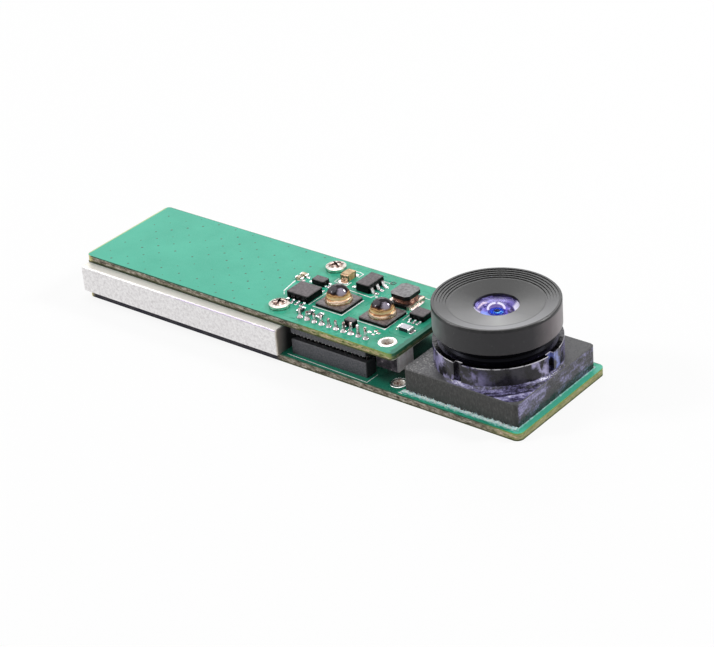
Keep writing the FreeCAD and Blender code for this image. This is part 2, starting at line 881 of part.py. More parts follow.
def build():
    save("main_board", main_board())
    save("upper_board", upper_board())
    save("heat_block", heat_block())
    save("insulating_pad", insulating_pad())
    save("block_screws", *[block_screw(y, turn) for y, turn in zip(screw_ys, screw_recess_turns)])
    save("corner_nut", corner_nut())

    save("socket_housing", socket_housing())
    save("socket_contacts", *[socket_contact(x) for x in pin_xs])
    save("header_strip", header_strip())
    save("header_pins", *[header_pin(x) for x in pin_xs])
    save("pin_solder", *[solder_joint(x) for x in pin_xs])

    for index in range(lamp_count):
        side = "right" if index == 0 else "left"
        save("lamp_package_" + side, lamp_package(index))
        save("lamp_dome_" + side, lamp_dome(index))
        save("lamp_ring_" + side, lamp_ring(index))
        save("lamp_die_" + side, lamp_die(index))

    save("driver_chip", chip_body(driver_right_inset, driver_near_inset,
                                  driver_length, driver_width, driver_height))
    save("driver_chip_leads", *driver_leads())
    save("logic_chip", chip_body(logic_right_inset, logic_near_inset,
                                 logic_length, logic_width, logic_height))
    save("logic_chip_leads", *logic_leads())
    save("sixlead_chip", chip_body(sixlead_right_inset, sixlead_near_inset,
                                   sixlead_length, sixlead_width, sixlead_height))
    save("sixlead_chip_leads", *sixlead_leads())
    save("regulator_chip", chip_body(regulator_right_inset, regulator_near_inset,
                                     regulator_length, regulator_width, regulator_height))
    save("regulator_chip_leads", *regulator_leads())
    save("transistor", chip_body(transistor_right_inset, transistor_near_inset,
                                 transistor_length, transistor_width, transistor_height))
    save("transistor_leads", *transistor_leads())

    save("choke_core", choke_core())
    save("choke_winding", choke_winding())
    save("choke_terminals", choke_terminal(-1), choke_terminal(1))

    capacitor = (upper_right - capacitor_right_inset, upper_near + capacitor_near_inset, capacitor_length,
                 capacitor_width, capacitor_height, capacitor_end_length, 90)
    save("capacitor_body", part_body(*capacitor))
    save("capacitor_ends", *part_ends(*capacitor))
    resistor = (upper_right - resistor_right_inset, upper_near + resistor_near_inset, resistor_length,
                resistor_width, resistor_height, resistor_end_length, 0)
    save("resistor_body", part_body(*resistor))
    save("resistor_ends", *part_ends(*resistor))
    small_bodies = []
    small_ends = []
    for x, y, turn in small_part_places():
        sizes = (x, y, small_length, small_width, small_height, small_end_length, turn)
        small_bodies.append(part_body(*sizes))
        small_ends += part_ends(*sizes)
    save("small_part_bodies", *small_bodies)
    save("small_part_ends", *small_ends)

    save("processor_chip", processor_chip())
    save("processor_gap_pad", processor_gap_pad())
    save("memory_chip", memory_chip())
    save("memory_gap_pad", memory_gap_pad())

    save("holder_adhesive", holder_adhesive())
    save("lens_holder", lens_holder())
    save("sensor_package", sensor_package())
    save("sensor_die", sensor_die())
    save("sensor_cover_glass", sensor_cover_glass())
    save("infrared_filter", infrared_filter())

    save("lens_barrel", lens_barrel())
    save("front_lens", lens_element(stack_top, front_lens_edge, front_lens_bulge, -front_lens_hollow))
    save("front_spacer", stack_ring(front_spacer_top, front_spacer_height, element_clear_radius))
    save("second_lens", lens_element(second_lens_top, second_lens_edge, -second_lens_hollow, -second_lens_hollow))
    save("rear_spacer", stack_ring(rear_spacer_top, rear_spacer_height, element_clear_radius))
    save("third_lens", lens_element(third_lens_top, third_lens_edge, third_lens_bulge, third_lens_bulge))
    save("fourth_lens", lens_element(fourth_lens_top, fourth_lens_edge, -fourth_lens_hollow, fourth_lens_bulge))
    save("retaining_ring", stack_ring(retaining_ring_top, retaining_ring_height, element_clear_radius))
    save("locking_lacquer", locking_lacquer())


build()
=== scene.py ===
import math
import random

import bpy
from mathutils import Matrix, Vector, noise


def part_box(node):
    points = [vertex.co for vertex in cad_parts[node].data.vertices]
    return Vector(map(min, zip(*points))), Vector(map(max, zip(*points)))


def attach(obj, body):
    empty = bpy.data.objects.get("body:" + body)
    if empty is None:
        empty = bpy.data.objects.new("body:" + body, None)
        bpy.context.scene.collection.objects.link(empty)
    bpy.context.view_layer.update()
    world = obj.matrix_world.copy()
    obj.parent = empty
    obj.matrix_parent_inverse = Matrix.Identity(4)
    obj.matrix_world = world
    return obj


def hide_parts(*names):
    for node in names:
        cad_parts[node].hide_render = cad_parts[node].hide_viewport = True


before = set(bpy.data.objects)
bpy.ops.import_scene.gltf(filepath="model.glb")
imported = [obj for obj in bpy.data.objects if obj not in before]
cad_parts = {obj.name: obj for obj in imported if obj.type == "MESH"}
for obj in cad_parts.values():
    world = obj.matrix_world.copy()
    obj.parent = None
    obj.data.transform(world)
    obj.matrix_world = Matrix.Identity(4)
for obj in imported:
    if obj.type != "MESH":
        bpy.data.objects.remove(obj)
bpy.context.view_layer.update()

# Lengths are millimetres in the row frame, turned into metres where a mesh is made.
METRE = 0.001
chance = random.Random(7)

# Levels and places that the CAD model has
MAIN_LEFT = -30.2
MAIN_RIGHT = 30.2
MAIN_FAR = 8
MAIN_TOP = 0.9
UPPER_BOTTOM = 4.22
UPPER_TOP = 5.02
UPPER_LEFT = -30.4
UPPER_RIGHT = 13.9
UPPER_FAR = 6.65
AXIS_X = 22.25
HOLDER_TOP = 3.74
HOLDER_HALF = 7.2
COLLAR_RADIUS = 6.87
UPPER_HOLE = (11.85, -5.45)
MAIN_HOLE = (13.6, -6.15)
HOLE_RADIUS = 0.65
LAMP_LEFT = (2.12, -1.43)
LAMP_RIGHT = (8.12, -1.43)
SCREW_NEAR = (-3.08, -5.3)
SCREW_FAR = (-3.08, 4.6)
PIN_COUNT = 10
PIN_MIDDLE = 4.95
PIN_ROW = -6.1
PIN_RADIUS = 0.17
SILK_LIFT = 0.015


class Value:
    """An output of a shader node, which takes part in sums like a number."""

    def __init__(self, nodes, socket):
        self.nodes = nodes
        self.socket = socket

    def __add__(self, other):
        return self.nodes.math("ADD", self, other)

    def __sub__(self, other):
        return self.nodes.math("SUBTRACT", self, other)

    def __rsub__(self, other):
        return self.nodes.math("SUBTRACT", other, self)

    def __mul__(self, other):
        return self.nodes.math("MULTIPLY", self, other)


class Nodes:
    """The emptied node tree of a material or a world. Its colours are in thousandths."""

    def __init__(self, owner):
        owner.use_nodes = True
        self.tree = owner.node_tree
        self.tree.nodes.clear()

    def node(self, kind, inputs, output=0, **settings):
        """A new node with these settings and inputs. Gives the output of that name or number."""
        node = self.tree.nodes.new(kind)
        for name, value in settings.items():
            setattr(node, name, value)
        for name, value in inputs.items():
            self.put(node.inputs[name], value)
        return Value(self, node.outputs[output]) if node.outputs else node

    def put(self, socket, value):
        if isinstance(value, Value):
            self.tree.links.new(value.socket, socket)
        elif socket.type == "RGBA":
            socket.default_value = (*(part / 1000 for part in value), 1)
        else:
            socket.default_value = value

    def math(self, kind, *values):
        return self.node("ShaderNodeMath", dict(enumerate(values)), operation=kind)

    def either(self, a, b):
        return self.math("MAXIMUM", a, b)


class Shader(Nodes):
    """One node material. Its coordinates are the frame's, in millimetres."""

    def __init__(self, name):
        self.mat = bpy.data.materials.new(name)
        super().__init__(self.mat)
        self.bsdf = self.tree.nodes.new("ShaderNodeBsdfPrincipled")
        self.node("ShaderNodeOutputMaterial", {"Surface": Value(self, self.bsdf.outputs[0])})
        metres = self.node("ShaderNodeTexCoord", {}, "Object")
        self.place = self.scaled(metres, (1000, 1000, 1000))
        self.x, self.y, self.z = self.split(self.place)
        normal = self.node("ShaderNodeNewGeometry", {}, "True Normal")
        self.nx, self.ny, self.nz = self.split(normal)

    def scaled(self, vector, by):
        return self.node("ShaderNodeVectorMath", {0: vector, 1: by}, operation="MULTIPLY")

    def split(self, vector):
        node = self.tree.nodes.new("ShaderNodeSeparateXYZ")
        self.put(node.inputs[0], vector)
        return [Value(self, out) for out in node.outputs]

    def noise(self, scale, detail=2, rough=0.55, stretch=(1, 1, 1), place=None):
        place = place or self.scaled(self.place, stretch)
        inputs = {"Vector": place, "Scale": scale, "Detail": detail, "Roughness": rough}
        return self.node("ShaderNodeTexNoise", inputs, "Fac")

    def turn(self, x, y):
        """Angle about the upright line at x, y, from -pi at the left through 0 at the right to pi."""
        return self.math("ARCTAN2", self.y - y, self.x - x)

    def radius(self, x, y):
        dx = self.x - x
        dy = self.y - y
        return self.math("SQRT", dx * dx + dy * dy)

    def noise_round(self, along, detail, rough, upright):
        """Noise that runs in rings about the lens axis: along counts the runs, upright stretches them."""
        around = self.turn(AXIS_X, 0) * (along / 2)
        outward = self.radius(AXIS_X, 0) * (along / 1.6)
        place = self.node("ShaderNodeCombineXYZ", {0: around, 1: outward, 2: self.z * upright})
        return self.noise(1, detail, rough, place=place)

    def rise(self, value, low, high):
        """0 below low, 1 above high, smooth between. Falls instead when low is above high."""
        inputs = {"Value": value, "From Min": min(low, high), "From Max": max(low, high),
                  "To Min": int(low > high), "To Max": int(low < high)}
        return self.node("ShaderNodeMapRange", inputs, interpolation_type="SMOOTHSTEP")

    def band(self, value, low, full, fade, high):
        """1 from full to fade, 0 below low and above high."""
        return self.rise(value, low, full) * self.rise(value, high, fade)

    def ramp(self, value, *stops):
        """Colours along value. The stops are a place, its colour, the next place and so on."""
        node = self.tree.nodes.new("ShaderNodeValToRGB")
        self.put(node.inputs[0], value)
        elements = node.color_ramp.elements
        while len(elements) < len(stops) // 2:
            elements.new(0.5)
        for element, at, colour in zip(elements, stops[::2], stops[1::2]):
            element.position = at
            element.color = (*(part / 1000 for part in colour), 1)
        return Value(self, node.outputs[0])

    def mix(self, share, a, b):
        return self.node("ShaderNodeMix", {"Factor": share, 6: a, 7: b}, 2, data_type="RGBA")

    def over(self, share, colour):
        """Lays a share of this colour over the shader's own."""
        self.colour = self.mix(share, self.colour, colour)

    def between(self, share, a, b):
        """A value that goes from a to b with share."""
        return share * (b - a) + a

    def facing(self, x, y, z):
        """1 where the surface looks this way, falling as it turns off it."""
        return self.nx * x + self.ny * y + self.nz * z

    def done(self, colour, rough, bump=None, metal=0, **more):
        """Fills the surface's inputs. bump is a height, a strength and a depth in millimetres."""
        values = {"Base Color": colour, "Roughness": rough, "Metallic": metal}
        for name, value in more.items():
            values[name.replace("_", " ")] = value
        if bump:
            height, strength, depth = bump
            inputs = {"Height": height, "Strength": strength, "Distance": depth * METRE}
            values["Normal"] = self.node("ShaderNodeBump", inputs)
        for name, value in values.items():
            self.put(self.bsdf.inputs[name], value)
        return self.mat


# Materials
def speckled(s, base, spread, scale, detail=3):
    """Base colour with fine light and dark grain."""
    dark = tuple(c * (1 - spread) for c in base)
    light = tuple(min(1000, c * (1 + spread)) for c in base)
    return s.ramp(s.noise(scale, detail), 0.38, dark, 0.5, base, 0.62, light)


def under_board(s):
    """The part of the main board's face that the upper board keeps in the dark."""
    along = s.band(s.x, -9, -8, 14.7, 15)
    across = s.band(s.y, -4.6, -3.6, 1.5, 5.5)
    return along * (across * s.rise(s.nz, 0.3, 0.6))


def mask_colour(s, main):
    """Green lacquer: paler over the whole copper layer at the left, where a sheen is painted in, and deeper
    between the parts, which is painted shade.
    """
    # The pale left colour is the copper layer with a painted sheen; the deeper colour among the parts is
    # painted shade.
    pour_and_sheen = s.ramp(s.noise(0.25, 3), 0.3, (16, 365, 240), 0.7, (30, 420, 280))
    parts = s.ramp(s.noise(0.9, 3), 0.3, (12, 300, 175), 0.7, (30, 430, 275))
    crowd = s.rise(s.x + s.noise(0.5) * 5, -5.5, 1)
    colour = s.mix(crowd, pour_and_sheen, parts)
    if main:
        upward = s.rise(s.nz, 0, 0.3)
        # Painted shade on the main board between the parts, where the upper board overhangs.
        between = s.band(s.x, -2, -1, 14.2, 15.2) * upward
        colour = s.mix(between * 0.8, colour, (6, 130, 80))
        # Painted shadow, nearly black, where the upper board covers the main board.
        colour = s.mix(under_board(s) * 0.97, colour, (2, 5, 5))
        # Painted shade round the nut, up to the holder.
        gap = s.band(s.x, 10.6, 11.6, 15, 15.2)
        shaded = gap * s.band(s.y, -7.2, -6.2, 1, 3)
        colour = s.mix(shaded * upward * 0.8, colour, (3, 35, 22))
        # Painted light on the strip right of the holder.
        lit = s.rise(s.x, 29.2, 29.5) * upward
        colour = s.mix(lit * 0.75, colour, (90, 550, 380))
    grain = s.rise(s.noise(9, 2), 0.35, 0.75)
    return s.mix(grain * 0.12, colour, (200, 600, 480))


def edge_colour(s, tan_from, tan_to):
    """Cut glass fibre: speckled grey brown, yellower and greener towards the ends of the board."""
    fibre = s.noise(2.4, 4, 0.75, (0.6, 0.6, 1.8))
    grey = s.ramp(fibre, 0.34, (22, 19, 12), 0.44, (150, 125, 95), 0.54, (310, 270, 210),
                  0.65, (580, 530, 460))
    tan = s.ramp(fibre, 0.34, (40, 60, 15), 0.44, (200, 220, 80), 0.53, (420, 410, 200),
                 0.6, (580, 360, 220), 0.68, (660, 660, 500))
    return s.mix(s.rise(s.x, tan_from, tan_to), grey, tan)


def board_material(name, bottom, top, tan_from, tan_to, left, right, far, end, main):
    """Mask on the faces and cut fibre at the edges, which turn greener from tan_from to tan_to."""
    s = Shader(name)
    face = s.rise(s.math("ABSOLUTE", s.nz), 0.35, 0.65)
    s.colour = edge_colour(s, tan_from, tan_to)
    s.over(s.rise(s.nx, 0.4, 0.75) * 0.6, end)
    not_end = s.rise(s.nx, -0.95, -0.82)
    # A painted yellow glow near the left end, where light comes through the cut fibre.
    corner = s.rise(s.x, left + 1.3, left + 0.4) * s.rise(s.noise(1.6, 3), 0.38, 0.55)
    corner = corner * not_end
    s.over(corner * 0.8, (660, 560, 200))
    waver = (s.noise(1.2, 3) - 0.5) * 0.1
    high = s.rise(s.z + waver, top - 0.19, top - 0.11)
    low = s.rise(s.z - waver, bottom + 0.22, bottom + 0.12)
    upper = s.mix(s.rise(s.x, tan_from, tan_to), (12, 95, 55), (240, 360, 80))
    s.over(high * 0.9, upper)
    if not main:
        tip = s.rise(s.x, right - 1.9, right - 0.7) * s.rise(s.z, bottom + 0.2, bottom + 0.45)
        tip = tip * s.rise(s.nx, 0.85, 0.6)
        s.over(tip * 0.75, (200, 360, 90))
    s.over(low * 0.85, (35, 55, 12))
    if not main:
        lacquered = s.rise(s.nx, 0.5, 0.8) * s.rise(s.z, top - 0.42, top - 0.25)
        s.over(lacquered * 0.85, (12, 150, 90))
        foot = s.rise(s.nx, 0.5, 0.8) * s.rise(s.z, bottom + 0.11, bottom + 0.06)
        s.over(foot * 0.85, (660, 680, 560))
    else:
        # Painted shade on the main board's near edge, where the heat block overhangs it.
        dim = s.rise(s.x, -1, -2) * s.rise(s.x, left + 0.5, left + 1.2)
        near = s.rise(s.ny, -0.5, -0.8)
        s.over(dim * near * 0.9, (18, 18, 34))
    bevel = s.rise(s.x, left + 0.8, left + 0.45) * s.rise(s.ny, 0.5, 0.2)
    s.over(bevel * not_end * 0.85, (700, 630, 300))
    s.over(face, mask_colour(s, main))
    rim = s.rise(s.y, far - 0.08, far - 0.04) * s.rise(s.x, right - 0.5, right - 1)
    s.over(rim * 0.8, (170, 160, 110))
    rim = s.rise(s.x, left + 0.22, left + 0.1) * not_end
    s.over(rim * 0.85, (600, 620, 300))
    if not main:
        ragged = s.x + (s.noise(1.6, 4, 0.7) * 1.2 - 0.6)
        margin = s.rise(ragged, right - 0.75, right - 0.35)
        s.over(margin * face * 0.8, (12, 150, 100))
    rough = s.between(face, 0.75, 0.4)
    metal = 0
    if main:
        # Painted shade under the upper board: rough and metallic, so that the face shows no sheen.
        rough = s.either(rough, under_board(s))
        metal = under_board(s) * 0.92
    return s.done(s.colour, rough, (s.noise(4, 3), 0.25, 0.02), metal, IOR=1.5, Specular_IOR_Level=0.2)


def aluminium():
    """Milled and fine blasted: mottled grey white, with painted shade on the rounded top edges, a warm
    painted light on the ledge, and the right end painted from a highlight into shade.
    """
    s = Shader("aluminium_blasted")
    blotch = s.ramp(s.noise(2.6, 6, 0.75), 0.36, (620, 600, 600), 0.5, (760, 745, 750),
                    0.64, (860, 845, 840))
    pits = s.rise(s.noise(7, 3, 0.7), 0.58, 0.72)
    s.colour = s.mix(pits * 0.3, blotch, (500, 480, 480))
    # Painted shade on the rounded top edges.
    round_off = s.band(s.nz, 0.12, 0.3, 0.9, 0.97)
    s.over(round_off * 0.6, (420, 410, 410))
    # Warm painted light on the ledge.
    ledge = s.rise(s.nz, 0.94, 0.99)
    s.over(ledge * 0.8, (980, 950, 880))
    # A grey lilac line along the near top edge, fading out towards the left.
    rim = s.band(s.z, 3.82, 3.88, 3.94, 4)
    rim_tone = rim * s.rise(s.x + s.noise(0.3) * 6, -17, -11)
    s.over(rim_tone * s.rise(s.ny, -0.3, -0.8), (360, 310, 420))
    # The right end is painted from a cream highlight at its near edge into dark shade further in; it and the
    # ledge are less metallic, so that the painted light holds.
    depth = (s.y + (s.noise(1.2, 3) * 0.3 + 8.35)) * 0.5
    end_light_and_shade = s.ramp(depth, 0, (800, 740, 640), 0.07, (560, 480, 400), 0.16, (280, 240, 215),
                  0.5, (160, 145, 140), 0.95, (20, 20, 22))
    end = s.rise(s.nx, 0.5, 0.85)
    s.over(end, end_light_and_shade)
    metal = s.between(s.either(end, ledge * 0.85), 1, 0.1)
    return s.done(s.colour, s.between(s.noise(3, 4), 0.38, 0.62), (s.noise(6.5, 4, 0.7), 0.35, 0.03), metal)


def bright_metal(name, colour, rough, grain, dark):
    """Plated metal with soft stains, little scratches and an uneven shine."""
    s = Shader(name)
    light = tuple(min(1000, c * 1.08) for c in colour)
    stain = s.ramp(s.noise(grain, 4, 0.65), 0.33, dark, 0.55, colour, 0.8, light)
    return s.done(stain, s.between(s.noise(grain * 2, 3), rough * 0.6, rough * 1.7),
                  (s.noise(grain * 3, 3), 0.3, 0.02), 1)


def screw_metal():
    """Nickel: bright rim, brown and pink round the recess, painted shade on the walls there and a painted
    green reflection of the board round the head's foot.
    """
    s = Shader("nickel_screw")
    base = s.ramp(s.noise(2.4, 4), 0.33, (500, 430, 360), 0.5, (860, 810, 740), 0.75, (970, 940, 910))
    reach = s.either(s.rise(s.radius(*SCREW_NEAR), 1, 0.75), s.rise(s.radius(*SCREW_FAR), 1, 0.75))
    pit = s.ramp(s.noise(2.7, 3, 0.7), 0.4, (30, 16, 14), 0.48, (260, 150, 120), 0.55, (580, 420, 360),
                 0.63, (900, 800, 750))
    top = reach * s.rise(s.nz, 0.3, 0.6)
    # Painted shade on the walls of the recess and the sides of the head.
    wall = reach * s.rise(s.nz, 0.3, 0.1)
    s.colour = s.mix(top, base, pit)
    s.over(wall, (50, 22, 18))
    # Painted green reflection of the board round the head's foot.
    foot = s.rise(s.z, UPPER_TOP + 0.13, UPPER_TOP + 0.04)
    return s.done(s.mix(foot * 0.8, s.colour, (120, 160, 120)), s.between(s.noise(4), 0.14, 0.34),
                  (s.noise(3, 3), 0.5, 0.05), 1)


def moulded(name, base, top, rough, grain=9, shaded_sides=False):
    """Moulded plastic: matt grain, faces that look up in their own top colour, which on chips and lamps is a
    paler painted sheen mottled by wear, and painted shade on sides that face +X.
    """
    s = Shader(name)
    body = speckled(s, base, 0.35, grain)
    cap = speckled(s, top, 0.45, grain * 0.8, 5)
    # Painted shade on the sides that face +X.
    body = s.mix(s.rise(s.nx, 0.5, 0.8) * 0.8, body, tuple(c * 0.1 for c in base))
    colour = s.mix(s.rise(s.nz, 0.5, 0.9), body, cap)
    shine = s.between(s.noise(grain * 0.5), rough * 0.75, rough * 1.3)
    # Where asked, the sides are painted as shade: metallic, so that they show no sheen.
    metal = s.rise(s.nz, 0.5, 0.2) * 0.8 if shaded_sides else 0
    return s.done(colour, shine, (s.noise(grain * 1.5, 3), 0.4, 0.02), metal, Specular_IOR_Level=0.3)


def collar_film(s):
    """Lacquer round the collar: dark, with painted highlights in lilac, pale and blue at fixed turns round
    it, and a painted highlight along its top edge.
    """
    share = s.turn(AXIS_X, 0) * (0.5 / math.pi) + 0.5
    lean = s.z * 0.012 - 0.06
    share = share + lean + (s.noise(1, 4, 0.6) * 0.09 - 0.045)
    dark, dim, violet = (5, 4, 7), (35, 32, 45), (85, 75, 160)
    lilac, pale, blue = (220, 200, 380), (440, 410, 640), (200, 240, 580)
    # Painted highlights at fixed turns round the collar.
    streaks = s.ramp(share, 0, violet, 0.07, dark, 0.12, lilac, 0.16, lilac, 0.19, pale, 0.212, lilac, 0.225,
                  dim, 0.25, dark, 0.262, dim, 0.28, lilac, 0.31, violet, 0.34, dark, 0.4, dim, 0.44, dark,
                  0.462, pale, 0.485, violet, 0.515, blue, 0.54, dark, 0.56, violet, 0.6, lilac, 0.66, dark,
                  0.78, violet, 0.86, dark)
    broken = s.rise(s.noise(0.9, 4, 0.55, (1, 1, 0.8)), 0.38, 0.56)
    # Painted highlight along the collar's top edge.
    brim = s.band(s.z, 6.05, 6.11, 6.18, 6.21) * s.rise(s.noise(0.8, 3), 0.36, 0.48)
    return s.mix(brim * 0.85, s.mix(broken, dark, streaks), (740, 720, 760))


def holder_plastic():
    """Moulded holder: grey top of dust and painted sheen, dark sides, lacquer over the collar and the right
    face with painted sheen and highlights, painted shade on the collar's crown.
    """
    s = Shader("holder_plastic")
    side = s.ramp(s.noise(2.6, 5, 0.75, (1.6, 1.6, 0.7)), 0.3, (22, 22, 21), 0.5, (40, 39, 38),
                  0.66, (75, 72, 70))
    speck = s.rise(s.noise(11, 2), 0.66, 0.74)
    side = s.mix(speck * 0.35, side, (350, 350, 360))
    # The top's grey is dust with a painted sheen, palest at the left.
    grit_and_sheen = s.ramp(s.noise(5, 4, 0.75), 0.3, (60, 60, 65), 0.5, (130, 130, 135), 0.6, (240, 235, 240),
                  0.68, (600, 560, 520))
    plain = s.ramp(s.noise(5, 5, 0.75), 0.3, (40, 40, 43), 0.6, (100, 100, 105))
    leftish = s.rise(s.x + s.noise(0.6) * 3, 21, 17.5)
    up = s.rise(s.nz, 0.5, 0.9)
    body = s.mix(up, side, s.mix(leftish, plain, grit_and_sheen))
    radius = s.radius(AXIS_X, 0)
    inside = s.rise(radius, COLLAR_RADIUS + 0.12, COLLAR_RADIUS + 0.03)
    collar = inside * s.rise(s.z, HOLDER_TOP + 0.01, HOLDER_TOP + 0.05)
    right = s.rise(s.nx, 0.85, 0.97)
    wet = s.either(collar, right)
    # The right face's violet streaks are lacquer with a painted sheen, darker towards the bottom.
    streak = s.noise(1.2, 5, 0.65, (1, 0.5, 1.5)) * 0.6 + s.noise(4, 4, 0.7) * 0.4
    high = streak + (s.z * 0.04 - 0.09)
    patch = s.rise(s.noise(0.32, 2), 0.42, 0.6) * 0.1 - 0.07
    high = high + patch
    flank = s.ramp(high, 0.4, (18, 18, 24), 0.48, (50, 48, 62), 0.55, (110, 105, 190),
                   0.63, (270, 250, 440))
    film = s.mix(collar, flank, collar_film(s))
    # Painted shade on the collar's crown: near black and metallic, so that it shows no sheen.
    crown = collar * (s.rise(s.nz, 0.7, 0.9) * s.rise(s.z, 5.9, 6.1))
    film = s.mix(crown, film, (4, 3, 6))
    grain = s.noise(7, 4, 0.7) * s.between(wet, 1, 0.3)
    swell = s.noise(0.9, 3) * s.between(wet, 0, 3)
    bump = (grain + swell, 0.5, 0.04)
    return s.done(s.mix(wet, body, film), s.between(wet, 0.5, 0.2), bump, crown * 0.85, IOR=1.5,
                  Specular_IOR_Level=0.35)


def lacquer():
    """Glossy lacquer, nearly black where thick, with lilac streaks that follow the collar, and painted shade
    on it higher up the collar.
    """
    s = Shader("violet_lacquer")
    streaks = s.noise_round(4, 5, 0.7, 0.35) * 0.55 + s.noise(2.2, 6, 0.75) * 0.45
    s.colour = s.ramp(streaks, 0.4, (8, 7, 12), 0.47, (45, 40, 80), 0.52, (150, 135, 280),
                      0.58, (360, 340, 580), 0.64, (800, 780, 920))
    # Painted shade up the collar: near black and metallic, so that it shows no sheen.
    s.over(s.rise(s.z, 5.2, 5.6) * 0.9, (6, 5, 12))
    left = s.rise(s.x, 22, 20) * s.rise(s.z, 5.2, 4.9)
    s.over(left * 0.65, (45, 43, 50))
    return s.done(s.colour, 0.2, (s.noise(3.2, 5, 0.7) + streaks, 0.6, 0.06), s.rise(s.z, 5.3, 5.6) * 0.85,
                  IOR=1.5, Coat_Weight=0.15, Coat_Roughness=0.08)


def anodised():
    """Turned and black anodised: fine tool lines and dust, painted sheen on cone, brim and flanks, a painted
    highlight under the head, and the shank painted as a dark groove of shade.
    """
    s = Shader("barrel_anodised")
    radius = s.radius(AXIS_X, 0)
    tool = s.math("SINE", radius * 46)
    lines = tool * s.noise(0.8, 2)
    s.colour = s.ramp(s.noise(1.6, 4, 0.6, (1, 1, 0.4)), 0.3, (7, 7, 8), 0.7, (19, 18, 19))
    share = s.turn(AXIS_X, 0) * (0.5 / math.pi) + 0.5 + s.noise(0.7, 3) * 0.03
    cone = s.rise(radius, 5.15, 4.95) * s.rise(s.z, 9.6, 9.7)
    # Painted sheen on the cone, brightest on its near side.
    near = s.ramp(share, 0, (30, 30, 30), 0.14, (60, 60, 62), 0.27, (140, 140, 145), 0.37, (300, 300, 305),
                  0.5, (100, 100, 103), 0.66, (30, 30, 30))
    # Painted sheen on the brim.
    brim = s.band(radius, 5, 5.2, 6.4, 6.55) * s.rise(s.nz, 0.5, 0.9)
    rim_tone = s.ramp(share, 0, (20, 20, 20), 0.15, (40, 40, 42), 0.26, (200, 200, 210), 0.38, (340, 340, 360),
                  0.52, (200, 200, 210), 0.66, (30, 30, 30))
    s.over(brim * 0.85, rim_tone)
    # Painted sheen on the sides of the head.
    flank = s.ramp(share, 0.06, (20, 20, 20), 0.14, (300, 300, 310), 0.22, (30, 30, 32), 0.45, (30, 28, 32),
                   0.55, (220, 190, 200), 0.64, (30, 30, 30))
    s.over(cone * 0.9, near)
    side = s.rise(radius, 6.6, 6.75) * s.rise(s.z, 10.35, 10.2)
    s.over(side * 0.8, flank)
    dust = s.rise(s.noise(3.2, 6, 0.8), 0.58, 0.7) * 0.22
    s.over(dust, (200, 200, 205))
    # Painted highlight along the head's lower edge.
    lip = s.band(s.z, 7.58, 7.63, 7.69, 7.74)
    lip = lip * s.band(share, 0.13, 0.16, 0.23, 0.27)
    s.over(lip * 0.8, (600, 600, 610))
    # Painted shade on the shank under the head: near black and metallic, so that it shows no sheen.
    shank = s.rise(s.z, 7.62, 7.55)
    fine = lines * 0.25 + s.noise(9, 3)
    return s.done(s.mix(shank, s.colour, (4, 4, 6)), s.between(s.noise(1.2, 3), 0.27, 0.36),
                  (fine, 0.16, 0.02), shank * 0.9, IOR=1.5, Specular_IOR_Level=0.28)


def lens_front():
    """Clear glass with a faint violet coat."""
    s = Shader("glass_front")
    tint = s.mix(s.noise(0.6), (900, 880, 1000), (970, 960, 1000))
    return s.done(tint, 0.02, IOR=1.1, Transmission_Weight=1)


# Radii in mm, angles from the near side, share and colour of the arcs in the coated glass, which are painted
# reflections; the white and peach ones are painted highlights
LENS_ARCS = (
    (0.95, 1.65, -1.9, -0.6, 0.8, (330, 460, 950)),
    (1.15, 1.7, 1.1, 1.9, 0.85, (30, 15, 40)),
    (1.95, 2.08, -2.7, -1.9, 0.9, (950, 800, 760)),
    (1.7, 2.5, -1.75, -0.95, 0.95, (1000, 980, 1000)),
    (1.85, 2.5, 1.15, 1.95, 0.95, (1000, 980, 1000)),
)


def arc_patch(s, radius, turned, near, far, first, last):
    """A soft-edged piece of a ring, between two radii and two angles."""
    across = s.rise(radius, near - 0.05, near + 0.05) * s.rise(radius, far + 0.05, far - 0.05)
    return across * (s.rise(turned, first - 0.12, first + 0.12) * s.rise(turned, last + 0.12, last - 0.12))


def lens_inner():
    """Coated inner elements, painted with their reflections: lilac rings with arcs across them, painted
    highlights in white, and a navy pupil with blue painted glints.
    """
    s = Shader("glass_coated")
    plain = s.radius(AXIS_X, 0) + (s.noise(1.1, 2) * 0.24 - 0.12)
    ring = s.ramp(plain * (1 / 2.6), 0, (1, 2, 10), 0.1, (1, 3, 50), 0.17, (4, 20, 400),
                  0.25, (10, 50, 550), 0.31, (30, 25, 200), 0.43, (170, 130, 540), 0.52, (260, 210, 620),
                  0.67, (50, 35, 180), 0.8, (240, 190, 560), 0.93, (5, 4, 8))
    arcs = s.rise(s.noise_round(3.6, 4, 0.6, 0.2), 0.53, 0.6) * s.rise(plain, 1, 1.2)
    s.colour = s.mix(arcs * 0.6, ring, (440, 390, 860))
    turned = s.math("WRAP", s.turn(AXIS_X, 0) + 0.87, math.pi, -math.pi)
    for near, far, first, last, share, tone in LENS_ARCS:
        s.over(arc_patch(s, plain, turned, near, far, first, last) * share, tone)
    halo = s.radius(AXIS_X - 0.6, 0.72)
    outside = s.rise(plain, 0.85, 1)
    s.over(outside * s.rise(halo, 0.8, 0.7) * 0.8, (160, 120, 280))
    # A painted highlight in a white arc above the pupil.
    highlight_hoop = s.band(halo, 0.7, 0.78, 0.92, 1.02)
    s.over(outside * highlight_hoop * 0.92, (950, 930, 1000))
    # Painted blue glints on the near side round the pupil.
    glint = s.band(plain, 0.35, 0.42, 0.7, 0.8) * s.rise(s.noise(2.4, 2), 0.5, 0.56)
    glint = glint * s.rise(s.math("ABSOLUTE", turned), 1.3, 0.9)
    return s.done(s.mix(glint, s.colour, (160, 620, 950)), 0.12, (s.noise(1.2, 2), 0.15, 0.05), IOR=1.35,
                  Specular_IOR_Level=0.05)


